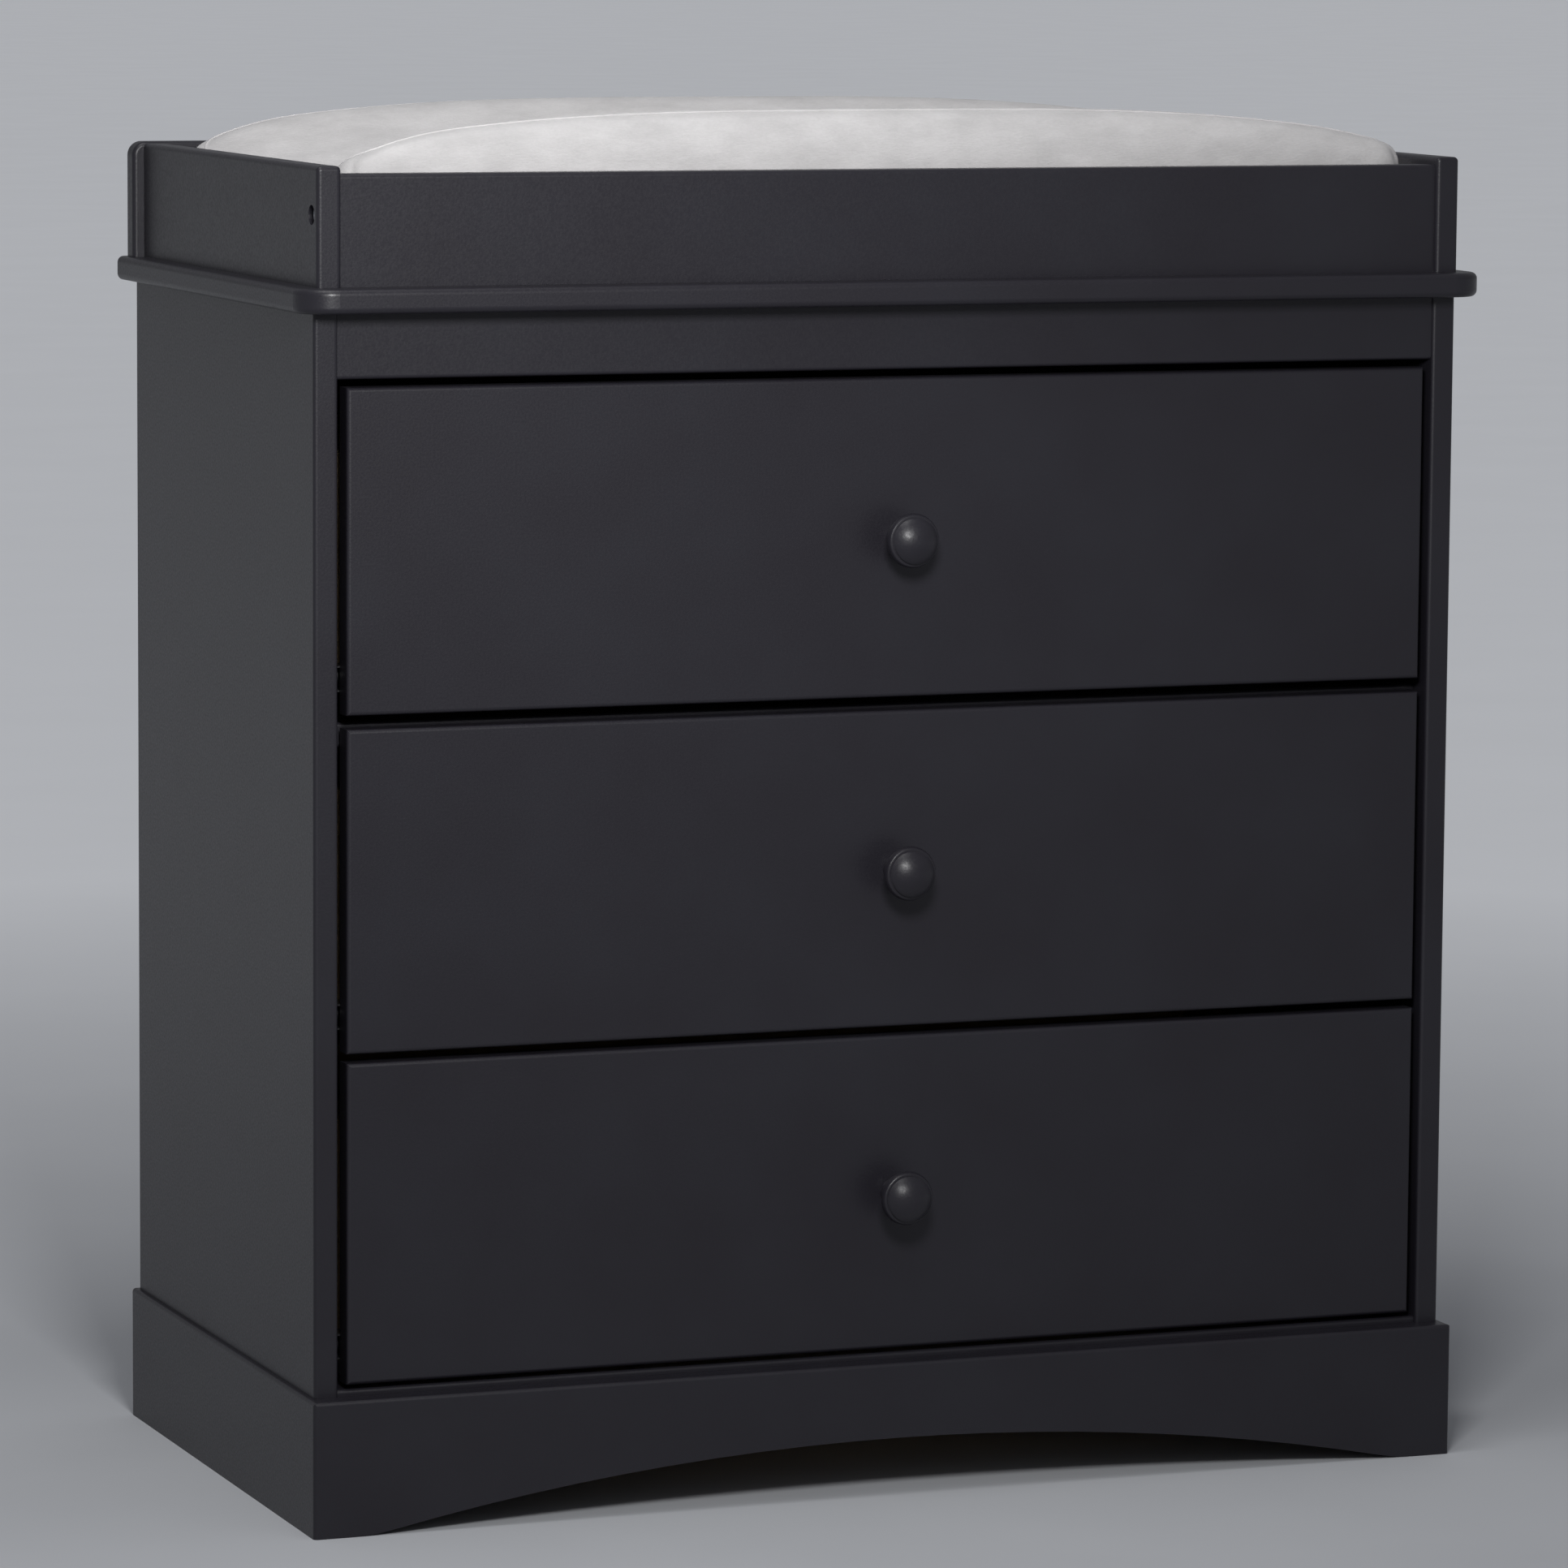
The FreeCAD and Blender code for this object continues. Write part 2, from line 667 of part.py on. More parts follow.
def plinth():
    """Mitred base frame with an arched front, and the blocks in its corners."""
    wide = plinth_half * 2
    t = v.board
    face = board("plinth_front", (plinth_half * -1, plinth_half), (plinth_front, plinth_front + t),
                 (0, v.plinth_height))
    ease(face, v.board_edge, "x-y-", "x+y-", "y-z+")
    toe = plinth_half - v.arch_foot
    both_radii = (toe * toe + v.arch_rise * v.arch_rise) / (v.arch_rise * 2)
    radius = both_radii - v.arch_foot_curve
    heel = toe * radius / both_radii
    lift = v.arch_rise * v.arch_foot_curve / both_radii
    arch = [(plinth_half - toe, 0), (plinth_half + toe, 0),
            (plinth_half + heel, lift), (plinth_half - heel, lift)]
    cut_outline(face, "Y", arch, 0, t,
                {1: (v.arch_foot_curve, -1), 2: (radius, 1), 3: (v.arch_foot_curve, -1)})
    cut_outline(face, "Z", [(0, 0), (t, t), (0, t)], 0, v.plinth_height)
    cut_outline(face, "Z", [(wide, 0), (wide, t), (wide - t, t)], 0, v.plinth_height)
    keep(face)

    side = board("plinth_right", (plinth_inner, plinth_half), (plinth_front, back_line), (0, v.plinth_height))
    ease(side, v.board_edge, "x+y-", "x+z+")
    cut_outline(side, "Z", [(0, 0), (t, 0), (0, t)], 0, v.plinth_height)
    keep(side)
    keep(mirrored(side, "plinth_left"))

    keep(board("plinth_rear", (plinth_inner * -1, plinth_inner), (back_face - t, back_face),
               (0, v.plinth_height)))

    x = (plinth_inner - v.block_side, plinth_inner)
    y = plinth_front + t
    under_front_rail = v.plinth_height + v.bottom_rail_step - v.board
    first = board("front_corner_block", x, (y, y + v.block_side), (v.block_lift, under_front_rail))
    y = back_face - t
    second = board("rear_corner_block", x, (y - v.block_side, y), (v.block_lift, v.plinth_height))
    both_sides("plinth_corner_blocks", [first, second])


# ---------------------------------------------------------------- runners

channel_reach = v.runner_gap - v.runner_steel - v.runner_clearance


def case_runner(name, low):
    """Steel channel on the side panel, with the pin of its front roller."""
    steel = v.runner_steel
    tall = channel_height
    reach = channel_reach
    z = low + v.box_rise + v.channel_lift
    body = new_body(f"{name}_case_runner", (inner - reach, front + v.channel_start, z))
    section = [(0, 0), (reach, 0), (reach, tall), (0, tall), (0, tall - steel), (reach - steel, tall - steel),
               (reach - steel, steel), (0, steel)]
    add(body, "Y", section, 0, box_depth)
    cut_outline(body, "Z", rectangle(0, reach - steel, 0, v.channel_notch), tall - steel, steel)
    pin_length = v.roller_width + v.runner_clearance
    axle = (v.front_roller_place, front_roller_lift - v.channel_lift)
    add_round(body, "X", axle, reach - steel - pin_length, v.roller_pin, pin_length)
    holes = [(place - v.channel_start, channel_height / 2) for place in screw_places.values()]
    cut_round(body, "X", holes, reach - steel, v.wood_screw + v.play, steel)
    return body


def roller_body(label, x, y, z):
    """Nylon roller, drawn from its inner side outwards."""
    bore = v.roller_pin / 2 + v.play / 2
    radius = v.roller / 2
    points = [(bore, 0), (radius - v.bevel, 0), (radius, v.bevel), (radius, v.roller_width - v.bevel),
              (radius - v.bevel, v.roller_width), (bore, v.roller_width)]
    return turned(label, points, None, (x, y, z), ALONG_X)


def wood_screw(label, x, y, z):
    """Pan-head screw that points to +X, with its head's underside at x."""
    shank = v.wood_screw / 2
    head = v.wood_screw_head / 2
    high = v.screw_head
    points = [(0, high * -1), (head - v.bevel, high * -1), (head, v.bevel - high), (head, 0), (shank, 0),
              (shank, v.wood_screw_grip - v.wood_screw), (0, v.wood_screw_grip - v.play)]
    return turned(label, points, None, (x, y, z), ALONG_X)


def case_runners():
    screws = []
    for name, low in DRAWERS.items():
        runner = case_runner(name, low)
        both_sides(f"{name}_case_runners", [runner])
        for end, place in screw_places.items():
            z = low + v.box_rise + screw_lift
            screws.append(wood_screw(f"{name}_{end}_runner_screw", inner - v.runner_steel, front + place, z))
    both_sides("case_runner_screws", screws)


# ---------------------------------------------------------------- drawers


def drawer_front(name, low):
    y = (front, box_front)
    panel = board(f"{name}_drawer_front", (front_half * -1, front_half), y, (low, low + front_height))
    ease(panel, v.front_edge, "y-")
    cut_round(panel, "Y", [(front_half, front_height / 2)], 0, v.knob_screw + 4 * v.play, v.front_board)
    reach = box_half - v.box_board + v.groove
    lift = v.box_rise + v.bottom_lift
    slot = rectangle(front_half - reach, front_half + reach, lift - v.play, lift + v.bottom_sheet + v.play)
    cut_outline(panel, "Y", slot, v.front_board - v.groove, v.groove)
    keep(panel)


def drawer_box(name, low):
    z = low + v.box_rise
    inside = box_half - v.box_board
    lift = v.bottom_lift
    side = board(f"{name}_drawer_right_side", (inside, box_half), (box_front, box_back), (z, z + box_height))
    ease(side, v.box_edge, "x-z+", "x+z+")
    slot = rectangle(0, box_depth, lift - v.play, lift + v.bottom_sheet + v.play)
    cut_outline(side, "X", slot, 0, v.groove)
    keep(side)
    keep(mirrored(side, f"{name}_drawer_left_side"))
    over_sheet = z + lift + v.bottom_sheet + v.play
    rear = board(f"{name}_drawer_back", (inside * -1, inside), (box_back - v.box_board, box_back),
                 (over_sheet, z + box_height))
    ease(rear, v.box_edge, "y-z+", "y+z+")
    keep(rear)
    reach = inside + v.groove - 2 * v.play
    keep(board(f"{name}_drawer_bottom", (reach * -1, reach), (box_front - v.groove + 2 * v.play, box_back),
               (z + lift, z + lift + v.bottom_sheet)))


def knob(name, low):
    """Turned knob: foot, waist, stepped ring, groove and dome, drawn forward along -Y."""
    ring = v.knob_ring / 2
    dome = v.knob_dome / 2
    foot = v.knob_foot / 2
    tip = v.knob_projection
    rim = tip - v.knob_dome_rise              # where the dome starts
    dome_radius = (dome * dome + v.knob_dome_rise * v.knob_dome_rise) / (v.knob_dome_rise * 2)
    bore = v.knob_screw / 2 + v.play / 2
    grip = v.knob_screw_grip + v.hole_end_room
    step = v.knob_step
    groove = v.knob_groove
    places = [
        (bore, 0),
        (foot, 0),
        (v.knob_neck / 2, rim - v.knob_neck_place),
        (ring, rim - v.knob_ring_place),
        (ring - step, rim - v.knob_step_place),
        (ring - step * 1.5, rim - v.knob_step_place + step / 3),
        (dome, rim - groove * 2),
        (dome - groove, rim - groove),
        (dome, rim),
        (0, tip),
        (0, grip),
        (bore, grip),
    ]
    points = [(radius, forward * -1) for radius, forward in places]
    arcs = {1: (v.knob_waist_curve, 1), 2: (v.knob_ring_round, -1), 3: (v.knob_ring_round, -1),
            5: (v.knob_ring_round, -1), 8: (dome_radius, -1)}
    place = (0, front, low + front_height / 2)
    keep(turned(f"{name}_drawer_knob", points, arcs, place))

    shank = v.knob_screw / 2
    head = v.knob_screw_head / 2
    inside = v.front_board
    high = inside + v.knob_screw_head_height
    points = [(0, high), (head - v.bevel, high), (head, high - v.bevel), (head, inside), (shank, inside),
              (shank, v.knob_screw_grip * -1), (0, v.knob_screw_grip * -1)]
    keep(turned(f"{name}_drawer_knob_screw", points, None, place))


def drawer_runner(name, low):
    """Steel angle under the drawer box, whose outer flange rides on the case's front roller."""
    steel = v.runner_steel
    lip = flange_top
    z = low + v.box_rise
    foot = v.box_board - v.runner_foot_setback
    out = v.runner_gap - steel - v.runner_clearance
    body = new_body(f"{name}_drawer_runner", (box_half, box_front + v.back_slack, z))
    section = [(foot * -1, steel * -1), (steel, steel * -1), (steel, lip - steel), (out, lip - steel),
               (out, lip), (0, lip), (0, 0), (foot * -1, 0)]
    length = box_depth - v.back_slack
    add(body, "Y", section, 0, length)
    pin_length = v.roller_width + v.runner_clearance
    place = (length - v.back_roller_place, back_roller_lift)
    add_round(body, "X", place, steel, v.roller_pin, pin_length)
    both_sides(f"{name}_drawer_runners", [body])


def rollers(name, low):
    z = low + v.box_rise
    y = box_back - v.back_roller_place
    x = box_half + v.runner_steel + v.runner_clearance / 2
    both_sides(f"{name}_rear_rollers", [roller_body(f"{name}_rear_roller", x, y, z + back_roller_lift)])
    y = front + v.channel_start + v.front_roller_place
    x = inner - v.runner_steel - v.runner_clearance / 2 - v.roller_width
    both_sides(f"{name}_front_rollers", [roller_body(f"{name}_front_roller", x, y, z + front_roller_lift)])


def drawers():
    for name, low in DRAWERS.items():
        drawer_front(name, low)
        drawer_box(name, low)
        knob(name, low)
        drawer_runner(name, low)
        rollers(name, low)


# ---------------------------------------------------------------- changing tray

tray_half = half - v.tray_side_inset
tray_inner = tray_half - v.tray_board
tray_front = front - v.tray_front_step
tray_back = back - v.tray_back_inset
tray_rail_front = tray_front + v.tray_rail_setback
tray_back_half = tray_half + v.tray_back_step
bolt_z = top_face + v.tray_bolt_lift
tray_bolt_reach = v.tray_bolt_length - (v.tray_board - v.counterbore_depth) + v.hole_end_room
bracket_middle = tray_inner - v.bracket_width / 2 - v.soft_gap


def tray_sides():
    side = board("topper_right_side", (tray_inner, tray_half), (tray_front, tray_back),
                 (top_face, top_face + v.tray_side_height))
    ease(side, v.tray_edge, "x-z+", "x+z+", "x-y-", "x+y-", "y-z+")
    t = v.tray_board
    bolt_bore = v.tray_bolt + 4 * v.play
    into_rail = [(v.tray_rail_setback + t / 2, v.tray_bolt_lift)]
    cut_round(side, "X", into_rail, t - v.counterbore_depth, v.counterbore, v.counterbore_depth)
    cut_round(side, "X", into_rail, 0, bolt_bore, t)
    long = tray_back - tray_front
    cut_round(side, "Y", [(t / 2, v.tray_bolt_lift)], long - tray_bolt_reach, bolt_bore, tray_bolt_reach)
    nut_place = [(long - v.barrel_nut_place, v.tray_bolt_lift)]
    nut_bore = t / 2 + v.barrel_nut_length / 2 + v.play
    cut_round(side, "X", nut_place, 0, v.barrel_nut + 2 * v.play, nut_bore)
    keep(side)
    keep(mirrored(side, "topper_left_side"))


def tray_rails():
    t = v.tray_board
    rail = board("topper_front_rail", (tray_inner * -1, tray_inner), (tray_rail_front, tray_rail_front + t),
                 (top_face, top_face + v.tray_rail_height))
    ease(rail, v.tray_edge, "y-z+", "y+z+")
    span = tray_inner * 2
    bore = v.tray_bolt + 4 * v.play
    for start in (0, span - tray_bolt_reach):
        cut_round(rail, "X", [(t / 2, v.tray_bolt_lift)], start, bore, tray_bolt_reach)
    deep = t / 2 + v.barrel_nut_length / 2 + v.play
    places = [(v.barrel_nut_place, v.tray_bolt_lift), (span - v.barrel_nut_place, v.tray_bolt_lift)]
    cut_round(rail, "Y", places, t - deep, v.barrel_nut + 2 * v.play, deep)
    keep(rail)

    rail = board("topper_rear_rail", (tray_back_half * -1, tray_back_half), (tray_back, tray_back + t),
                 (top_face, top_face + v.tray_back_height))
    ease(rail, v.tray_back_corner, "x-z+", "x+z+")
    ease(rail, v.tray_edge, "y-z+", "y+z+", "x-y-", "x+y-", "x-y+", "x+y+")
    middle = tray_inner + t / 2
    places = [(tray_back_half - middle, v.tray_bolt_lift), (tray_back_half + middle, v.tray_bolt_lift)]
    cut_round(rail, "Y", places, t - v.counterbore_depth, v.counterbore, v.counterbore_depth)
    cut_round(rail, "Y", places, 0, bore, t)
    lift = v.bracket_leg / 2
    places = [(tray_back_half - bracket_middle, lift), (tray_back_half + bracket_middle, lift)]
    cut_round(rail, "Y", places, 0, v.wood_screw + v.play, v.bracket_screw_grip)
    keep(rail)


def tray_bolt(label, place, turn):
    """Socket-head bolt about its own Y axis: the head's underside is at 0 and the shank runs to -Y."""
    head = v.tray_bolt_head / 2
    high = v.tray_bolt_head_height
    shank = v.tray_bolt / 2
    points = [(0, high), (head - v.bevel, high), (head, high - v.bevel), (head, 0), (shank, 0),
              (shank, v.tray_bolt_length * -1), (0, v.tray_bolt_length * -1)]
    bolt = turned(label, points, None, place, turn)
    corner = v.socket / math.sqrt(3)
    angles = [math.radians(60 * k) for k in range(6)]
    hexagon = [(corner * math.cos(angle), corner * math.sin(angle)) for angle in angles]
    cut_outline(bolt, "Y", hexagon, high - v.socket_depth, v.socket_depth)
    return bolt


def barrel_nut(label, place, turn):
    """Cross dowel about its own Y axis, slotted at its +Y end, with the bolt's hole across it."""
    radius = v.barrel_nut / 2
    long = v.barrel_nut_length / 2
    nut = turned(label, rectangle(0, radius, long * -1, long), None, place, turn)
    cut_round(nut, "X", [(0, 0)], radius * -1, v.tray_bolt + v.play, radius * 2)
    slot = v.driver_slot / 2
    cross = rectangle(radius * -1, radius, slot * -1, slot)
    cut_outline(nut, "Y", cross, long - v.driver_slot_depth, v.driver_slot_depth)
    return nut


def tray_fixings():
    t = v.tray_board
    seat = t - v.counterbore_depth
    bolt_y = tray_rail_front + t / 2
    bolt_x = tray_inner + t / 2
    front_bolt = tray_bolt("tray_front_bolt", (tray_inner + seat, bolt_y, bolt_z), ALONG_X)
    rear_bolt = tray_bolt("tray_rear_bolt", (bolt_x, tray_back + seat, bolt_z), ALONG_Y)
    both_sides("topper_bolts", [front_bolt, rear_bolt])
    front_nut = barrel_nut("tray_front_nut", (tray_inner - v.barrel_nut_place, bolt_y, bolt_z), None)
    rear_nut = barrel_nut("tray_rear_nut", (bolt_x, tray_back - v.barrel_nut_place, bolt_z),
                          Rotation(Vector(0, 0, 1), 90))
    both_sides("topper_barrel_nuts", [front_nut, rear_nut])

    # Angle bracket from the back rail down to the top, in the strip beside the pad, with its two screws.
    steel = v.bracket_steel
    leg = v.bracket_leg
    body = new_body("tray_bracket", (bracket_middle - v.bracket_width / 2, tray_back, top_face))
    section = [(0, 0), (0, leg), (steel * -1, leg), (steel * -1, steel), (leg * -1, steel), (leg * -1, 0)]
    add(body, "X", section, 0, v.bracket_width)
    middle = v.bracket_width / 2
    grip = v.bracket_screw_grip - v.hole_end_room
    add_round(body, "Y", (middle, leg / 2), 0, v.wood_screw, grip)
    add_round(body, "Y", (middle, leg / 2), (steel + v.screw_head) * -1, v.wood_screw_head, v.screw_head)
    add_round(body, "Z", (middle, leg / 2 * -1), grip * -1, v.wood_screw, grip)
    add_round(body, "Z", (middle, leg / 2 * -1), steel, v.wood_screw_head, v.screw_head)
    both_sides("topper_brackets", [body])


# ---------------------------------------------------------------- changing pad


def changing_pad():
    """Contoured pad: one section along its length, with its ends bowed down and its corners rounded."""
    room_front = tray_rail_front + v.tray_board
    long = (tray_inner - v.pad_end_gap) * 2
    wide = tray_back - room_front - v.pad_side_gap * 2
    high = v.pad_height
    slant = math.sqrt(0.5)                    # the inner slopes run at 45 degrees
    place = (long / 2 * -1, room_front + v.pad_side_gap, top_face + v.soft_gap)

    crest = v.pad_crest
    crest_y = crest * (1 + slant)
    crest_z = high - crest * (1 - slant)
    curve = v.pad_valley_curve
    foot_z = v.pad_valley + curve * (1 - slant)
    foot_y = crest_y + crest_z - foot_z
    flat_y = foot_y + curve * slant
    foot = v.pad_foot_curve
    points = [(foot, 0), (wide - foot, 0), (wide, foot), (wide, high - crest), (wide - crest_y, crest_z),
              (wide - foot_y, foot_z), (wide - flat_y, v.pad_valley), (flat_y, v.pad_valley),
              (foot_y, foot_z), (crest_y, crest_z), (0, high - crest), (0, foot)]
    arcs = {1: (foot, 1), 3: (crest, 1), 5: (curve, -1), 7: (curve, -1), 9: (crest, 1), 11: (foot, 1)}
    section = new_body("pad_section", place)
    add(section, "X", points, 0, long, arcs)

    corner = v.pad_end_corner
    reach = long / 2 - corner
    end = high - v.pad_bow
    bow = (reach * reach + v.pad_bow * v.pad_bow) / (v.pad_bow * 2)
    points = [(0, 0), (long, 0), (long, end - corner), (long - corner, end), (corner, end), (0, end - corner)]
    arcs = {2: (corner, 1), 3: (bow, 1), 4: (corner, 1)}
    profile = new_body("pad_profile", place)
    add(profile, "Y", points, 0, wide, arcs)

    round_corner = v.pad_plan_corner
    far_x = long - round_corner
    far_y = wide - round_corner
    points = [(round_corner, 0), (far_x, 0), (long, round_corner), (long, far_y), (far_x, wide),
              (round_corner, wide), (0, far_y), (0, round_corner)]
    arcs = {1: (round_corner, 1), 3: (round_corner, 1), 5: (round_corner, 1), 7: (round_corner, 1)}
    plan = new_body("pad_plan", place)
    add(plan, "Z", points, 0, high, arcs)

    pad = doc.addObject("Part::MultiCommon", "changing_pad")
    pad.Shapes = [section, profile, plan]
    keep(pad, "changing_pad")


# ---------------------------------------------------------------- the whole table

side_panels()
top_panel()
rails()
cam_fittings()
back_sheets()
plinth()
case_runners()
drawers()
tray_sides()
tray_rails()
tray_fixings()
changing_pad()
doc.recompute()

for thing in doc.Objects:
    if "Invalid" in thing.State or "Error" in thing.State:
        raise RuntimeError(f"{thing.Label} failed: {thing.State}")
for cut in cuts:
    if cut.Shape.Volume > cut.BaseFeature.Shape.Volume - LEAST_CUT:
        raise RuntimeError(f"{cut.Label} cuts nothing")
for label, thing in nodes.items():
    if thing.Shape.isNull() or not thing.Shape.isValid() or not thing.Shape.Solids:
        raise RuntimeError(f"{label} has no valid solid")

os.makedirs("parts", exist_ok=True)
for label, thing in nodes.items():
    thing.Shape.exportStep(os.path.join("parts", f"{label}.step"))
print(len(nodes), "sub-parts")
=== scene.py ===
# %% [markdown]
# # A three-drawer changing table
# The object is a painted dresser with a railed tray on its top and a contoured changing pad in the tray.
# Its boards, runners, knobs and bolts already exist as exact parts, so they are loaded as a fixed frame.
# What is left to do here is the look: a finish for every part, and a soft pad in place of the plain solid.

# %% Load the exact parts
import math

import bmesh
import bpy
import numpy as np
from mathutils import Matrix, Vector
from mathutils.bvhtree import BVHTree


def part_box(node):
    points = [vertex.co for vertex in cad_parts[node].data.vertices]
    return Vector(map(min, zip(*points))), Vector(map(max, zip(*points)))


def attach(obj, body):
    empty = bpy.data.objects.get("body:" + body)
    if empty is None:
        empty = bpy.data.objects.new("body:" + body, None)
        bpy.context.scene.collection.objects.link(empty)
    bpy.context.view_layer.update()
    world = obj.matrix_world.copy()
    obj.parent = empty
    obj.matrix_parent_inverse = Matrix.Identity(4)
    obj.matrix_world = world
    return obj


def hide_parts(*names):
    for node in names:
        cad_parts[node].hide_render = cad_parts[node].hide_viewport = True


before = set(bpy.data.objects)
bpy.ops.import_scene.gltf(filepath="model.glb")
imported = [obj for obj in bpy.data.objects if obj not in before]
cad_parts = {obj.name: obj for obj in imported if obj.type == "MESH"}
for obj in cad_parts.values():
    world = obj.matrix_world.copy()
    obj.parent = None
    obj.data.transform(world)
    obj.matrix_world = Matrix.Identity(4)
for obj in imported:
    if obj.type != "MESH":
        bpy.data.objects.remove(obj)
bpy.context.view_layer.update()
MM = 0.001

# %% [markdown]
# ## Small helpers
# Colours are written as the sRGB hex codes that a painter would read off a chart, and one function turns
# them into the linear values that shaders need. Patterns are sized in millimetres: a texture's scale is how
# many of its features fit in a metre. One function adds a node, sets what it is given, and links a socket.

# %% Helpers
def linear(code):
    """An sRGB hex code as linear RGBA."""
    channels = [int(code[i:i + 2], 16) / 255 for i in (1, 3, 5)]
    return [c / 12.92 if c <= 0.04045 else ((c + 0.055) / 1.055) ** 2.4 for c in channels] + [1.0]


def per_metre(size_mm):
    """A texture scale whose features are about size_mm across."""
    return 1000 / size_mm


def add_node(tree, kind, settings=None, inputs=None):
    """A new node, with its properties set and each input given a value or linked to a socket."""
    node = tree.nodes.new(kind)
    for name, value in (settings or {}).items():
        setattr(node, name, value)
    for name, value in (inputs or {}).items():
        if isinstance(value, bpy.types.NodeSocket):
            tree.links.new(value, node.inputs[name])
        else:
            node.inputs[name].default_value = value
    return node


def deselect():
    """Leave edit mode and drop the selection, because an operator acts on all that is selected."""
    if bpy.context.object and bpy.context.object.mode != "OBJECT":
        bpy.ops.object.mode_set(mode="OBJECT")
    bpy.ops.object.select_all(action="DESELECT")


def take(piece):
    """Make one object the only selected one, and the active one."""
    deselect()
    piece.select_set(True)
    bpy.context.view_layer.objects.active = piece


def apply_place(piece):
    """Put the object's origin at the frame's, so that its place is in its mesh as an exact part's is."""
    take(piece)
    bpy.ops.object.transform_apply(location=True, rotation=True, scale=True)


# %% [markdown]
# ## Camera
# The table is seen from its front left and a little above, from far enough away that its verticals stay
# almost parallel. A long lens at that distance gives the gentle perspective. The camera leans by less than
# half a degree, which is built as three turns: the lean, the dip towards the floor, then the heading.

# %% Camera
CAMERA_PLACE = Vector((-2.1511, -5.5491, 1.2596))
HEADING = math.radians(21.1)
DIP = math.radians(6.983)
LEAN = math.radians(0.4044)

camera_data = bpy.data.cameras.new("camera")
camera_data.lens = 172.6
camera_data.sensor_width = 36
camera_data.clip_end = 100
camera = bpy.data.objects.new("camera", camera_data)
bpy.context.scene.collection.objects.link(camera)
turn = Matrix.Rotation(-HEADING, 4, "Z") @ Matrix.Rotation(math.pi / 2 - DIP, 4, "X")
camera.matrix_world = Matrix.Translation(CAMERA_PLACE) @ turn @ Matrix.Rotation(LEAN, 4, "Z")
bpy.context.scene.camera = camera
print("camera", tuple(round(c, 3) for c in camera.location))

# %% [markdown]
# ## Light and floor
# A dark satin paint shows light by where it falls off, so the key lamp stands close, at the front left and
# just above the top. Near it the paint is brightest, and the far lower corner looks about half as bright. It
# is small enough to give each knob a shadow. A broader and stronger lamp hangs overhead and lights the pad,
# and the world gives an even, plain light. The lamps are hidden from the camera, so no view shows one.

# %% Light and floor
def softbox(name, place, aim, width, power, spread=180):
    """A square lamp that faces a point. A narrower spread keeps its light off the floor around."""
    data = bpy.data.lights.new(name, "AREA")
    data.shape = "SQUARE"
    data.size = width
    data.energy = power
    data.spread = math.radians(spread)
    lamp = bpy.data.objects.new(name, data)
    bpy.context.scene.collection.objects.link(lamp)
    lamp.location = place
    lamp.rotation_euler = (Vector(aim) - Vector(place)).to_track_quat("-Z", "Y").to_euler()
    lamp.visible_camera = False


softbox("key_softbox", (-0.7, -1.95, 1.5), (-0.2, -0.2, 0.88), 0.42, 9, spread=90)
softbox("overhead_softbox", (-0.6, -0.5, 2.7), (-0.1, 0.0, 0.9), 1.1, 15)

WORLD_LIGHT = 0.27
world = bpy.data.worlds.new("studio")
world.use_nodes = True
bpy.context.scene.world = world
tree = world.node_tree
tree.nodes.clear()
light = add_node(tree, "ShaderNodeBackground", inputs={"Color": linear("#f3f5fb"), "Strength": WORLD_LIGHT})
add_node(tree, "ShaderNodeOutputWorld", inputs={"Surface": light.outputs[0]})

deselect()
FLOOR_HALF = 60
bpy.ops.mesh.primitive_plane_add(size=FLOOR_HALF * 2, location=(0, 0, 0))
floor = bpy.context.object
floor.name = "floor"

bpy.context.scene.view_settings.view_transform = "Standard"

# %% [markdown]
# ## Starting a material
# Every finish starts the same way: a Principled shader whose plain numbers sit on its own sockets, and the
# object's coordinates, which are metres in the frame, so that a pattern keeps its real size on every part.
# Fine relief comes from noise through a Bump node, whose distance is the relief's real height.

# %% Material helpers
def new_finish(finish_name, **plain):
    """A material with a Principled shader. Returns it with its tree, its shader and its coordinates."""
    material = bpy.data.materials.new(finish_name)
    material.use_nodes = True
    tree = material.node_tree
    tree.nodes.clear()
    numbers = {name.replace("_", " "): number for name, number in plain.items()}
    shader = add_node(tree, "ShaderNodeBsdfPrincipled", inputs=numbers)
    add_node(tree, "ShaderNodeOutputMaterial", inputs={"Surface": shader.outputs[0]})
    place = add_node(tree, "ShaderNodeTexCoord").outputs["Object"]
    return material, tree, shader, place


def stretched(tree, place, x, y, z):
    """Coordinates multiplied along each axis, so that a pattern is drawn out where the number is small."""
    return add_node(tree, "ShaderNodeMapping", inputs={"Vector": place, "Scale": (x, y, z)}).outputs[0]


def noise(tree, place, size_mm, detail=2.0, roughness=0.5):
    inputs = {"Vector": place, "Scale": per_metre(size_mm), "Detail": detail, "Roughness": roughness}
    return add_node(tree, "ShaderNodeTexNoise", inputs=inputs).outputs["Fac"]


def colours(tree, factor, stops):
    """A ramp through (position, hex) stops."""
    node = add_node(tree, "ShaderNodeValToRGB", inputs={"Fac": factor})
    ramp = node.color_ramp
    ramp.elements[0].position, ramp.elements[1].position = stops[0][0], stops[-1][0]
    ramp.elements[0].color, ramp.elements[1].color = linear(stops[0][1]), linear(stops[-1][1])
    for position, code in stops[1:-1]:
        ramp.elements.new(position).color = linear(code)
    return node.outputs["Color"]


def spread(tree, factor, low, high, start=0.3, end=0.7):
    """Noise turned into a range of values, such as roughness."""
    inputs = {"Value": factor, "From Min": start, "From Max": end, "To Min": low, "To Max": high}
    return add_node(tree, "ShaderNodeMapRange", inputs=inputs).outputs[0]


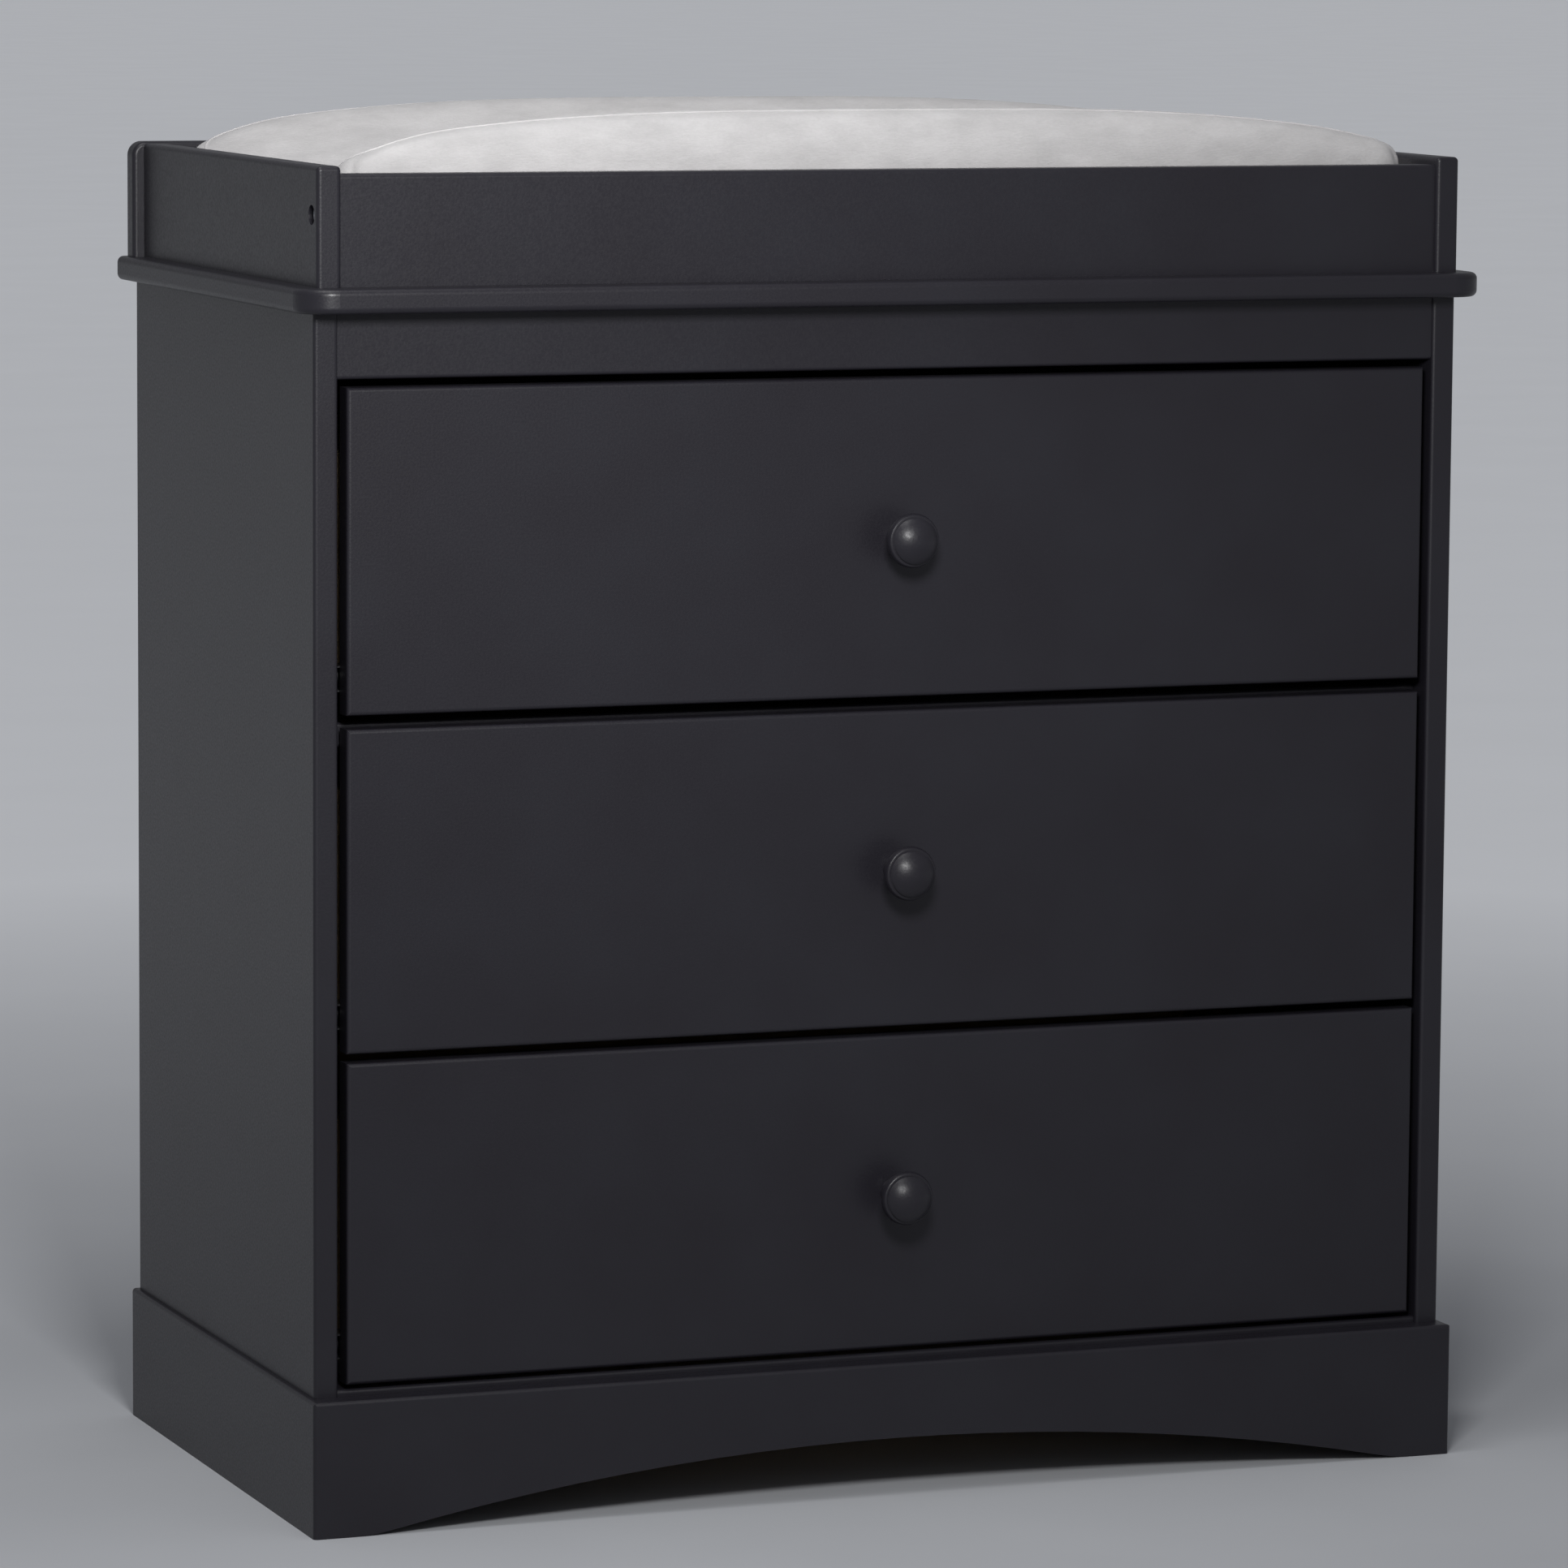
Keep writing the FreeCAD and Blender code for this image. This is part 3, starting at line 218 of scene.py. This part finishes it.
def relief(tree, height, height_mm, strength=1.0, under=None):
    """Bump of a real height, laid over an earlier one if there is one."""
    inputs = {"Height": height, "Distance": height_mm * MM, "Strength": strength}
    if under:
        inputs["Normal"] = under
    return add_node(tree, "ShaderNodeBump", inputs=inputs).outputs[0]


# %% [markdown]
# ## Satin charcoal paint
# The outside is sprayed with satin lacquer over primed board. A spray gun leaves orange peel: soft dimples
# one or two millimetres across and some hundredths deep. They break the sheen up and hide the board
# completely, so no grain shows. The colour drifts very slightly over a hand's width, as any real coat does.

# %% Satin charcoal paint
def satin_charcoal_paint():
    paint, tree, shader, place = new_finish("sprayed_satin_lacquer", IOR=1.41)
    drift = noise(tree, place, 90, detail=3)
    shade = colours(tree, drift, [(0.3, "#1f1d23"), (0.7, "#222127")])
    tree.links.new(shade, shader.inputs["Base Color"])
    peel = noise(tree, place, 1.8, detail=1.5)
    tree.links.new(spread(tree, peel, 0.34, 0.44), shader.inputs["Roughness"])
    waves = relief(tree, noise(tree, place, 14), 0.06, 0.4)
    dimples = relief(tree, peel, 0.08, 1.0, waves)
    tree.links.new(dimples, shader.inputs["Normal"])
    return paint


# %% [markdown]
# ## The back and the drawer boxes
# The back is thin hardboard with a matt dark foil, which shows the fibres pressed under it. The drawer boxes
# are light foil-covered board: the foil is printed with a pale birch grain that runs along each board. Wood
# grain is noise drawn out along one axis, so each direction of board has its own drawn-out coordinates.

# %% Hardboard and drawer board
def foiled_hardboard():
    sheet, tree, shader, place = new_finish("matt_foil_on_hardboard", Roughness=0.62, IOR=1.46)
    fibres = noise(tree, place, 2.2, detail=5, roughness=0.65)
    shade = colours(tree, fibres, [(0.3, "#2b2b2e"), (0.7, "#343438")])
    tree.links.new(shade, shader.inputs["Base Color"])
    tree.links.new(relief(tree, fibres, 0.06, 0.6), shader.inputs["Normal"])
    return sheet


def birch_board(name, along):
    """Birch foil whose grain runs along an axis: 0 is X and 1 is Y."""
    board, tree, shader, place = new_finish(name, IOR=1.47)
    draw = [1.0, 1.0, 1.0]
    draw[along] = 0.06
    run = stretched(tree, place, *draw)
    rings = noise(tree, run, 9, detail=6, roughness=0.6)
    shade = colours(tree, rings, [(0.28, "#b99a72"), (0.5, "#cfb48c"), (0.72, "#d9c29d")])
    tree.links.new(shade, shader.inputs["Base Color"])
    pores = noise(tree, run, 0.9, detail=2)
    tree.links.new(spread(tree, pores, 0.48, 0.62), shader.inputs["Roughness"])
    tree.links.new(relief(tree, pores, 0.02, 0.5), shader.inputs["Normal"])
    return board


def bare_pine():
    """Sawn pine, left bare inside the plinth. Its grain stands upright in the blocks."""
    block, tree, shader, place = new_finish("sawn_pine", Roughness=0.8, IOR=1.45)
    run = stretched(tree, place, 1.0, 1.0, 0.08)
    rings = noise(tree, run, 6, detail=5, roughness=0.6)
    shade = colours(tree, rings, [(0.3, "#a98257"), (0.5, "#c7a273"), (0.72, "#d4b486")])
    tree.links.new(shade, shader.inputs["Base Color"])
    saw = relief(tree, noise(tree, run, 1.2, detail=2), 0.12, 0.7)
    tree.links.new(saw, shader.inputs["Normal"])
    return block


# %% [markdown]
# ## Metal and plastic fittings
# The runners and brackets are pressed from strip and dipped in black coating, which softens their edges and
# leaves a fine even texture. Screws and bolts are zinc plated: a metal, a little blue, with blotches in its
# sheen where the plating is thicker. The cams are cast from zinc alloy, so they are duller and grainier.
# The rollers are moulded nylon, and the strip between the two back sheets is extruded plastic.

# %% Metal and plastic fittings
def dipped_steel():
    coat, tree, shader, place = new_finish("black_dipped_steel", IOR=1.5)
    grain = noise(tree, place, 0.8, detail=2)
    shade = colours(tree, noise(tree, place, 25), [(0.3, "#1b1b1c"), (0.7, "#222223")])
    tree.links.new(shade, shader.inputs["Base Color"])
    tree.links.new(spread(tree, grain, 0.34, 0.46), shader.inputs["Roughness"])
    tree.links.new(relief(tree, grain, 0.015, 0.6), shader.inputs["Normal"])
    return coat


def plated_or_cast(name, light, dark, smooth, dull, grain_mm, depth_mm):
    """Zinc: plated on steel, or cast. Both are bare metal with a patchy sheen."""
    metal, tree, shader, place = new_finish(name, Metallic=1.0)
    patches = noise(tree, place, 3.5, detail=4, roughness=0.6)
    tree.links.new(colours(tree, patches, [(0.3, dark), (0.7, light)]), shader.inputs["Base Color"])
    tree.links.new(spread(tree, patches, smooth, dull), shader.inputs["Roughness"])
    tree.links.new(relief(tree, noise(tree, place, grain_mm), depth_mm, 0.6), shader.inputs["Normal"])
    return metal


def moulded_plastic(name, light, dark, roughness):
    plastic, tree, shader, place = new_finish(name, Roughness=roughness, IOR=1.53)
    cloud = noise(tree, place, 6, detail=3)
    tree.links.new(colours(tree, cloud, [(0.3, dark), (0.7, light)]), shader.inputs["Base Color"])
    tree.links.new(relief(tree, noise(tree, place, 0.5), 0.01, 0.5), shader.inputs["Normal"])
    return plastic


# %% [markdown]
# ## Plush cover
# The pad's cover is a short knitted plush. Its pile lies along the pad, and where a hand has brushed it the
# other way it looks a shade darker, so the grey is softly clouded. Close up it is a field of fibre tips:
# noise one or two millimetres across, drawn out along the pile. Sheen gives the pale rim that short fibres
# have where the cloth turns away. Real fibre tips are too fine to see across a room, so these are coarser.

# %% Plush cover
def plush_cloth(name, dark, middle, light):
    cloth, tree, shader, place = new_finish(
        name, Roughness=0.95, IOR=1.45, Sheen_Weight=0.15, Sheen_Roughness=0.45
    )
    pile = stretched(tree, place, 0.45, 1.0, 1.0)
    clouds = noise(tree, pile, 22, detail=4, roughness=0.6)
    tips = noise(tree, pile, 1.5, detail=3, roughness=0.65)
    both = add_node(tree, "ShaderNodeMath", {"operation": "MULTIPLY_ADD"}, {0: tips, 1: 0.35})
    tree.links.new(clouds, both.inputs[2])
    shade = colours(tree, both.outputs[0], [(0.5, dark), (0.68, middle), (0.86, light)])
    tree.links.new(shade, shader.inputs["Base Color"])
    nap = relief(tree, noise(tree, pile, 7, detail=3), 0.5, 0.3)
    tree.links.new(relief(tree, tips, 0.45, 0.8, nap), shader.inputs["Normal"])
    return cloth


# %% [markdown]
# ## Giving each part its finish
# An exact part keeps its mesh, and only the material in its slot changes. The list goes by kind of part, so
# that a drawer's three copies are never named one by one. A part that no rule names would stay plain, so
# the script stops if there is one.

# %% Give each part its finish
paint = satin_charcoal_paint()
hardboard = foiled_hardboard()
birch_across = birch_board("birch_foil_across", 0)
birch_deep = birch_board("birch_foil_front_to_back", 1)
pine = bare_pine()
runner_steel = dipped_steel()
zinc_plate = plated_or_cast("zinc_plated_steel", "#d3d6dc", "#bcc0c7", 0.3, 0.46, 0.6, 0.01)
cast_zinc = plated_or_cast("cast_zinc_alloy", "#b4b5b7", "#97989b", 0.42, 0.6, 0.9, 0.03)
nylon = moulded_plastic("moulded_nylon", "#222224", "#1a1a1b", 0.42)
strip_plastic = moulded_plastic("extruded_strip_plastic", "#262628", "#1f1f21", 0.5)

FINISH_BY_ENDING = [
    ("_rollers", nylon),
    ("case_runner_screws", zinc_plate),
    ("_knob_screw", zinc_plate),
    ("_runners", runner_steel),
    ("topper_brackets", runner_steel),
    ("topper_bolts", zinc_plate),
    ("topper_barrel_nuts", zinc_plate),
    ("rail_cam_bolts", zinc_plate),
    ("rail_cam_locks", cast_zinc),
    ("back_panel_joiner", strip_plastic),
    ("_back_panel", hardboard),
    ("plinth_corner_blocks", pine),
    ("drawer_bottom", birch_across),
    ("drawer_back", birch_across),
    ("drawer_left_side", birch_deep),
    ("drawer_right_side", birch_deep),
    ("_drawer_front", paint),
    ("_drawer_knob", paint),
    ("_side_panel", paint),
    ("top_panel", paint),
    ("_rail", paint),
    ("topper_left_side", paint),
    ("topper_right_side", paint),
    ("plinth_front", paint),
    ("plinth_left", paint),
    ("plinth_right", paint),
    ("plinth_rear", paint),
]


def finish_of(name):
    for ending, finish in FINISH_BY_ENDING:
        if name.endswith(ending):
            return finish
    return None


SOFT_PARTS = {"changing_pad"}
for name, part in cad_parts.items():
    finish = finish_of(name)
    if finish:
        part.data.materials.clear()
        part.data.materials.append(finish)
unfinished = [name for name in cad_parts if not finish_of(name) and name not in SOFT_PARTS]
assert not unfinished, unfinished
print("finished parts:", len(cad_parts) - len(SOFT_PARTS))

# %% [markdown]
# ## The floor's finish
# The floor is pale matt screed. Close to the table it is lit like any surface and keeps the table's shadow.
# Far away the lamps hardly reach it, so it is lifted there to the even grey of a studio backdrop, for what
# the camera sees and for what shiny and clear surfaces reflect. The lift grows slowly with distance, so it
# leaves the shadow beside the table as it is.

# %% The floor's finish
BACKDROP = "#e0e2e6"
BACKDROP_LIFT = 0.38
LIFT_STARTS = 0.7
LIFT_ENDS = 3.4


def matt_floor():
    screed, tree, shader, place = new_finish("pale_matt_screed", Roughness=0.9, IOR=1.4)
    cloud = noise(tree, place, 400, detail=3)
    shade = colours(tree, cloud, [(0.3, "#babcc0"), (0.7, "#bfc1c5")])
    tree.links.new(shade, shader.inputs["Base Color"])
    away = add_node(tree, "ShaderNodeVectorMath", {"operation": "LENGTH"}, {0: place}).outputs["Value"]
    lift = spread(tree, away, 0.0, BACKDROP_LIFT, LIFT_STARTS, LIFT_ENDS)
    ray = add_node(tree, "ShaderNodeLightPath")
    shiny = add_node(tree, "ShaderNodeMath", {"operation": "MAXIMUM"},
                     {0: ray.outputs["Is Glossy Ray"], 1: ray.outputs["Is Transmission Ray"]})
    looks = add_node(tree, "ShaderNodeMath", {"operation": "MAXIMUM"},
                     {0: ray.outputs["Is Camera Ray"], 1: shiny.outputs[0]})
    strength = add_node(tree, "ShaderNodeMath", {"operation": "MULTIPLY"}, {0: lift, 1: looks.outputs[0]})
    shader.inputs["Emission Color"].default_value = linear(BACKDROP)
    tree.links.new(strength.outputs[0], shader.inputs["Emission Strength"])
    return screed


floor.data.materials.append(matt_floor())

# %% [markdown]
# ## The pad: its plain shape
# The pad is a block of foam with a trough for the baby and a raised side along each edge. By hand it would
# be cut from a block, and it is made that way here: a box, two cuts along it, and the middle pushed down. It
# starts taller than the pad, at the point where the slope would meet the outer wall, because rounding such a
# sharp corner brings its top down to the real height. A bevel as wide as b on a 45-degree corner ends 0.482 b
# below the corner's point, and 0.299 b in from the wall. The box is a little smaller all round than the
# finished pad, since its cover swells afterwards.

# %% The pad's plain shape
PAD_SWELL = 3.0 * MM
CREST_HEIGHT = 129.3 * MM                     # raised sides above the pad's foot, in the middle
VALLEY = 50 * MM                              # height of the lying surface
CREST_BEVEL = 56 * MM
BEVEL_FALL = 0.482
BEVEL_INSET = 0.299
VALLEY_BEVEL = 50 * MM
CREST_STEPS = 14
VALLEY_STEPS = 8
PLAN_ROUND = 22 * MM                          # rounding of the corners, seen from above

pad_low, pad_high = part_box("changing_pad")
pad_middle = (pad_low + pad_high) / 2
half_long = (pad_high.x - pad_low.x) / 2 - PAD_SWELL
half_wide = (pad_high.y - pad_low.y) / 2 - PAD_SWELL
sharp_height = CREST_HEIGHT + BEVEL_FALL * CREST_BEVEL
valley_half = half_wide - (sharp_height - VALLEY)


def pick_edges(piece, test):
    """In edit mode, select only the edges whose two ends pass the test."""
    bpy.ops.mesh.select_mode(type="EDGE")
    bpy.ops.mesh.select_all(action="DESELECT")
    mesh = bmesh.from_edit_mesh(piece.data)
    chosen = [edge for edge in mesh.edges if test(edge.verts[0].co, edge.verts[1].co)]
    for edge in chosen:
        edge.select_set(True)
    bmesh.update_edit_mesh(piece.data)
    return len(chosen)


def near(a, b):
    return abs(a - b) < 0.01 * MM


deselect()
bpy.ops.mesh.primitive_cube_add(size=1)
pad = bpy.context.object
pad.name = "contoured_changing_pad"
pad.scale = (half_long * 2, half_wide * 2, sharp_height)
pad.location = (pad_middle.x, pad_middle.y, pad_low.z + sharp_height / 2)
apply_place(pad)

bpy.ops.object.mode_set(mode="EDIT")
for side in (-1, 1):
    bpy.ops.mesh.select_all(action="SELECT")
    bpy.ops.mesh.bisect(plane_co=(0, pad_middle.y + side * valley_half, 0), plane_no=(0, 1, 0))


def on_valley(a, b):
    inside = max(abs(a.y - pad_middle.y), abs(b.y - pad_middle.y)) < valley_half + 0.01 * MM
    return inside and min(a.z, b.z) > pad_low.z + VALLEY


print("valley edges pushed down:", pick_edges(pad, on_valley))
bpy.ops.transform.translate(value=(0, 0, VALLEY - sharp_height))


def runs_along(a, b):
    return abs(a.x - b.x) > half_long


def crest_edge(a, b):
    return runs_along(a, b) and near(a.z, pad_low.z + sharp_height)


def valley_edge(a, b):
    return runs_along(a, b) and near(a.z, pad_low.z + VALLEY)


print("crest edges:", pick_edges(pad, crest_edge))
bpy.ops.mesh.bevel(offset=CREST_BEVEL, segments=CREST_STEPS, affect="EDGES")
print("valley edges:", pick_edges(pad, valley_edge))
bpy.ops.mesh.bevel(offset=VALLEY_BEVEL, segments=VALLEY_STEPS, affect="EDGES")
bpy.ops.object.mode_set(mode="OBJECT")
box = np.array([v.co for v in pad.data.vertices])
print("pad before its cover, mm:", ((box.max(0) - box.min(0)) / MM).round(1))

# %% [markdown]
# ## The pad: bowed sides and round corners
# A voxel remesh turns the block into an even net of small squares, which can be bent freely and which cloth
# needs. Two bends are worked out by formula. The raised sides sink towards their ends, measured from the
# valley up, so that the lying surface stays level. They fall with about the cube of the distance, which keeps
# the middle flat, and the left end is worn softer than the right. Then each corner of the plan is drawn in:
# the square rings round the corner's centre become quarter circles.

# %% The pad's bends
VOXEL = 6 * MM
BOW_POWER = 3.3
BOW_FALL = 11.2 * MM                          # fall of the raised sides at this distance from the middle
BOW_REACH = 335 * MM
WEAR_STARTS = 350 * MM
WEAR_LENGTH = 92 * MM
WORN_END_FALL = 13 * MM
FIRM_END_FALL = 5 * MM
END_ROUND = 10 * MM                           # rounding of the ends' upper edge
REAR_SINK = 3 * MM                            # rear raised side lower than the front one


def net_of(piece):
    take(piece)
    cover = piece.modifiers.new("even_net", "REMESH")
    cover.mode = "VOXEL"
    cover.voxel_size = VOXEL
    cover.use_smooth_shade = True
    bpy.ops.object.modifier_apply(modifier=cover.name)
    return len(piece.data.polygons)


def points_of(piece):
    spots = np.empty(len(piece.data.vertices) * 3)
    piece.data.vertices.foreach_get("co", spots)
    return spots.reshape(-1, 3)


def set_points(piece, spots):
    piece.data.vertices.foreach_set("co", spots.ravel())
    piece.data.update()


def crest_fall(along):
    """How far the raised sides sink, at a distance along the pad from its middle."""
    far = np.abs(along)
    bow = BOW_FALL * (far / BOW_REACH) ** BOW_POWER
    wear = np.where(along < 0, WORN_END_FALL, FIRM_END_FALL)
    wear = wear * np.clip((far - WEAR_STARTS) / WEAR_LENGTH, 0, 1) ** 2
    past = np.clip(far - half_long + END_ROUND, 0, END_ROUND)
    return bow + wear + END_ROUND - np.sqrt(END_ROUND ** 2 - past ** 2)


def bend_pad(spots):
    x = spots[:, 0] - pad_middle.x
    y = spots[:, 1] - pad_middle.y
    z = spots[:, 2] - pad_low.z
    sink = crest_fall(x) + REAR_SINK * np.clip(y / half_wide, 0, 1)
    z = np.where(z > VALLEY, VALLEY + (z - VALLEY) * (1 - sink / (CREST_HEIGHT - VALLEY)), z)
    past_x = np.maximum(np.abs(x) - (half_long - PLAN_ROUND), 0)
    past_y = np.maximum(np.abs(y) - (half_wide - PLAN_ROUND), 0)
    ring = np.maximum(past_x, past_y)
    far = np.hypot(past_x, past_y)
    pull = np.where((past_x > 0) & (past_y > 0), ring / np.maximum(far, 1e-9), 1.0)
    x = np.sign(x) * (np.abs(x) - past_x + past_x * pull)
    y = np.sign(y) * (np.abs(y) - past_y + past_y * pull)
    return np.stack([x + pad_middle.x, y + pad_middle.y, z + pad_low.z], 1)


print("squares in the net:", net_of(pad))
set_points(pad, bend_pad(points_of(pad)))

# %% [markdown]
# ## The pad: its cover
# The cover is sewn from a top panel and a band round the sides, so it is tight along the seam and free
# between seams. Cloth simulation gives it that: pressure from inside swells the net while the foot and the
# seam are pinned. Gravity is off, because foam carries the cloth. Left free the net travels much too far, so
# each point's travel is scaled down smoothly and held under four millimetres, which keeps the pad's outline.

# %% The pad's cover
SEAM_INSET = BEVEL_INSET * CREST_BEVEL - 2 * MM   # seam from the pad's outer edge, just outside the crest
END_SEAM_INSET = 9 * MM
SEAM_ROUND = 24 * MM
MOST_TRAVEL = 4 * MM
FOOT_HELD = 6 * MM                            # the lowest part, which the tray holds
SIMULATED_FRAMES = 20
CORNER_STEPS = 12
PINNED_SEAM_POINTS = 400
DROPPED_FROM = 0.1                            # metres above the pad, where the seam's points start to drop
CLOTH = {
    "quality": 5,
    "mass": 0.3,
    "tension_stiffness": 15,
    "compression_stiffness": 15,
    "bending_stiffness": 2,
    "use_pressure": True,
    "uniform_pressure_force": 4,
}


def seam_plan(count):
    """Points round the pad where the top panel meets the band: a rounded rectangle, seen from above."""
    reach_x = half_long - END_SEAM_INSET - SEAM_ROUND
    reach_y = half_wide - SEAM_INSET - SEAM_ROUND
    corners = [(1, 1, 0), (-1, 1, 1), (-1, -1, 2), (1, -1, 3)]
    outline = []
    for sign_x, sign_y, quarter in corners:
        for step in range(CORNER_STEPS + 1):
            angle = math.radians(90 * quarter + 90 * step / CORNER_STEPS)
            outline.append((sign_x * reach_x + SEAM_ROUND * math.cos(angle),
                            sign_y * reach_y + SEAM_ROUND * math.sin(angle)))
    outline = np.array(outline + outline[:1])
    lengths = np.hypot(*np.diff(outline, axis=0).T)
    travelled = np.concatenate([[0], np.cumsum(lengths)])
    even = np.linspace(0, travelled[-1], count, endpoint=False)
    return np.stack([np.interp(even, travelled, outline[:, axis]) for axis in (0, 1)], 1)


def seam_on(piece, count):
    """The seam's points, dropped from above onto the piece, with the surface's normals there."""
    tree = BVHTree.FromObject(piece, bpy.context.evaluated_depsgraph_get())
    spots, normals = [], []
    for x, y in seam_plan(count):
        start = Vector((x + pad_middle.x, y + pad_middle.y, pad_high.z + DROPPED_FROM))
        spot, normal, _, _ = tree.ray_cast(start, Vector((0, 0, -1)))
        spots.append(spot)
        normals.append(normal)
    return np.array(spots), np.array(normals)


def swell_cover(piece):
    """Pressure cloth over the foam, with the foot and the seam pinned."""
    take(piece)
    start = points_of(piece)
    seam, _ = seam_on(piece, PINNED_SEAM_POINTS)
    gap = np.min(np.linalg.norm(start[:, None, :] - seam[None, :, :], axis=2), axis=1)
    pinned = (gap < VOXEL) | (start[:, 2] < pad_low.z + FOOT_HELD)
    group = piece.vertex_groups.new(name="held")
    group.add([int(i) for i in np.flatnonzero(pinned)], 1.0, "REPLACE")
    cover = piece.modifiers.new("cover", "CLOTH")
    for setting, value in CLOTH.items():
        setattr(cover.settings, setting, value)
    cover.settings.vertex_group_mass = group.name
    cover.settings.effector_weights.gravity = 0
    cover.point_cache.frame_start = 1
    cover.point_cache.frame_end = SIMULATED_FRAMES
    for number in range(1, SIMULATED_FRAMES + 1):
        bpy.context.scene.frame_set(number)
    bpy.ops.object.modifier_apply(modifier=cover.name)
    bpy.context.scene.frame_set(1)
    moved = points_of(piece) - start
    far = np.linalg.norm(moved, axis=1)
    held_back = MOST_TRAVEL * np.tanh(far / MOST_TRAVEL / 2) / np.maximum(far, 1e-9)
    set_points(piece, start + moved * held_back[:, None])
    piece.vertex_groups.clear()
    print("cover moved, mm: most", round(float(far.max()) / MM, 2), "mean", round(float(far.mean()) / MM, 2))


swell_cover(pad)

take(pad)
finer = pad.modifiers.new("finer", "SUBSURF")
finer.levels = finer.render_levels = 1
bpy.ops.object.modifier_apply(modifier=finer.name)

# %% [markdown]
# ## The pad: its seam
# Where the two panels are sewn together the cloth is drawn down into a shallow crease, and the folded edges
# inside it stand up as a fine cord. The crease is made by moving the net's points down near the seam. The
# cord is a thin round tube laid in it, made from a closed curve and turned into a mesh.

# %% The pad's seam
CREASE_DEPTH = 0.9 * MM
CREASE_REACH = 5 * MM
CORD_RADIUS = 0.7 * MM
CORD_LIFT = 0.35                              # of its radius, above the surface it lies in
SEAM_POINTS = 520
CHUNKS = 40                                   # the net is searched in pieces, to save memory


def press_crease(piece):
    seam, normals = seam_on(piece, SEAM_POINTS)
    spots = points_of(piece)
    near_top = np.flatnonzero(spots[:, 2] > pad_low.z + VALLEY / 2)
    for chunk in np.array_split(near_top, CHUNKS):
        gaps = np.linalg.norm(spots[chunk][:, None, :] - seam[None, :, :], axis=2)
        closest = gaps.argmin(1)
        depth = CREASE_DEPTH * np.exp(-(gaps.min(1) / CREASE_REACH) ** 2)
        spots[chunk] -= normals[closest] * depth[:, None]
    set_points(piece, spots)


def seam_cord(piece):
    seam, normals = seam_on(piece, SEAM_POINTS)
    deselect()
    bpy.ops.curve.primitive_nurbs_path_add()
    cord = bpy.context.object
    cord.name = "pad_seam_cord"
    cord.data.splines.clear()
    line = cord.data.splines.new("POLY")
    line.points.add(SEAM_POINTS - 1)
    raised = seam + normals * CORD_RADIUS * CORD_LIFT
    line.points.foreach_set("co", np.c_[raised, np.ones(SEAM_POINTS)].ravel())
    line.use_cyclic_u = True
    cord.data.dimensions = "3D"
    cord.data.bevel_depth = CORD_RADIUS
    cord.data.bevel_resolution = 2
    take(cord)
    bpy.ops.object.convert(target="MESH")
    cord = bpy.context.object
    bpy.ops.object.shade_smooth()
    return cord


press_crease(pad)
take(pad)
bpy.ops.object.shade_smooth()
cord = seam_cord(pad)

plush = plush_cloth("short_grey_plush", "#b0aeae", "#b7b5b5", "#bebcbc")
# The cord is the pad's own plush painted a shade lighter: a painted highlight along the seam, where light
# catches the fold.
seam_highlight_cloth = plush_cloth("plush_seam_painted_highlight", "#bfbdbd", "#c5c3c3", "#cbc9c9")
for piece, cloth in ((pad, plush), (cord, seam_highlight_cloth)):
    piece.data.materials.clear()
    piece.data.materials.append(cloth)
    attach(piece, "cabinet")
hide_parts("changing_pad")
size = points_of(pad).max(0) - points_of(pad).min(0)
print("pad, mm:", (size / MM).round(1), "faces:", len(pad.data.polygons), "cord:", len(cord.data.polygons))
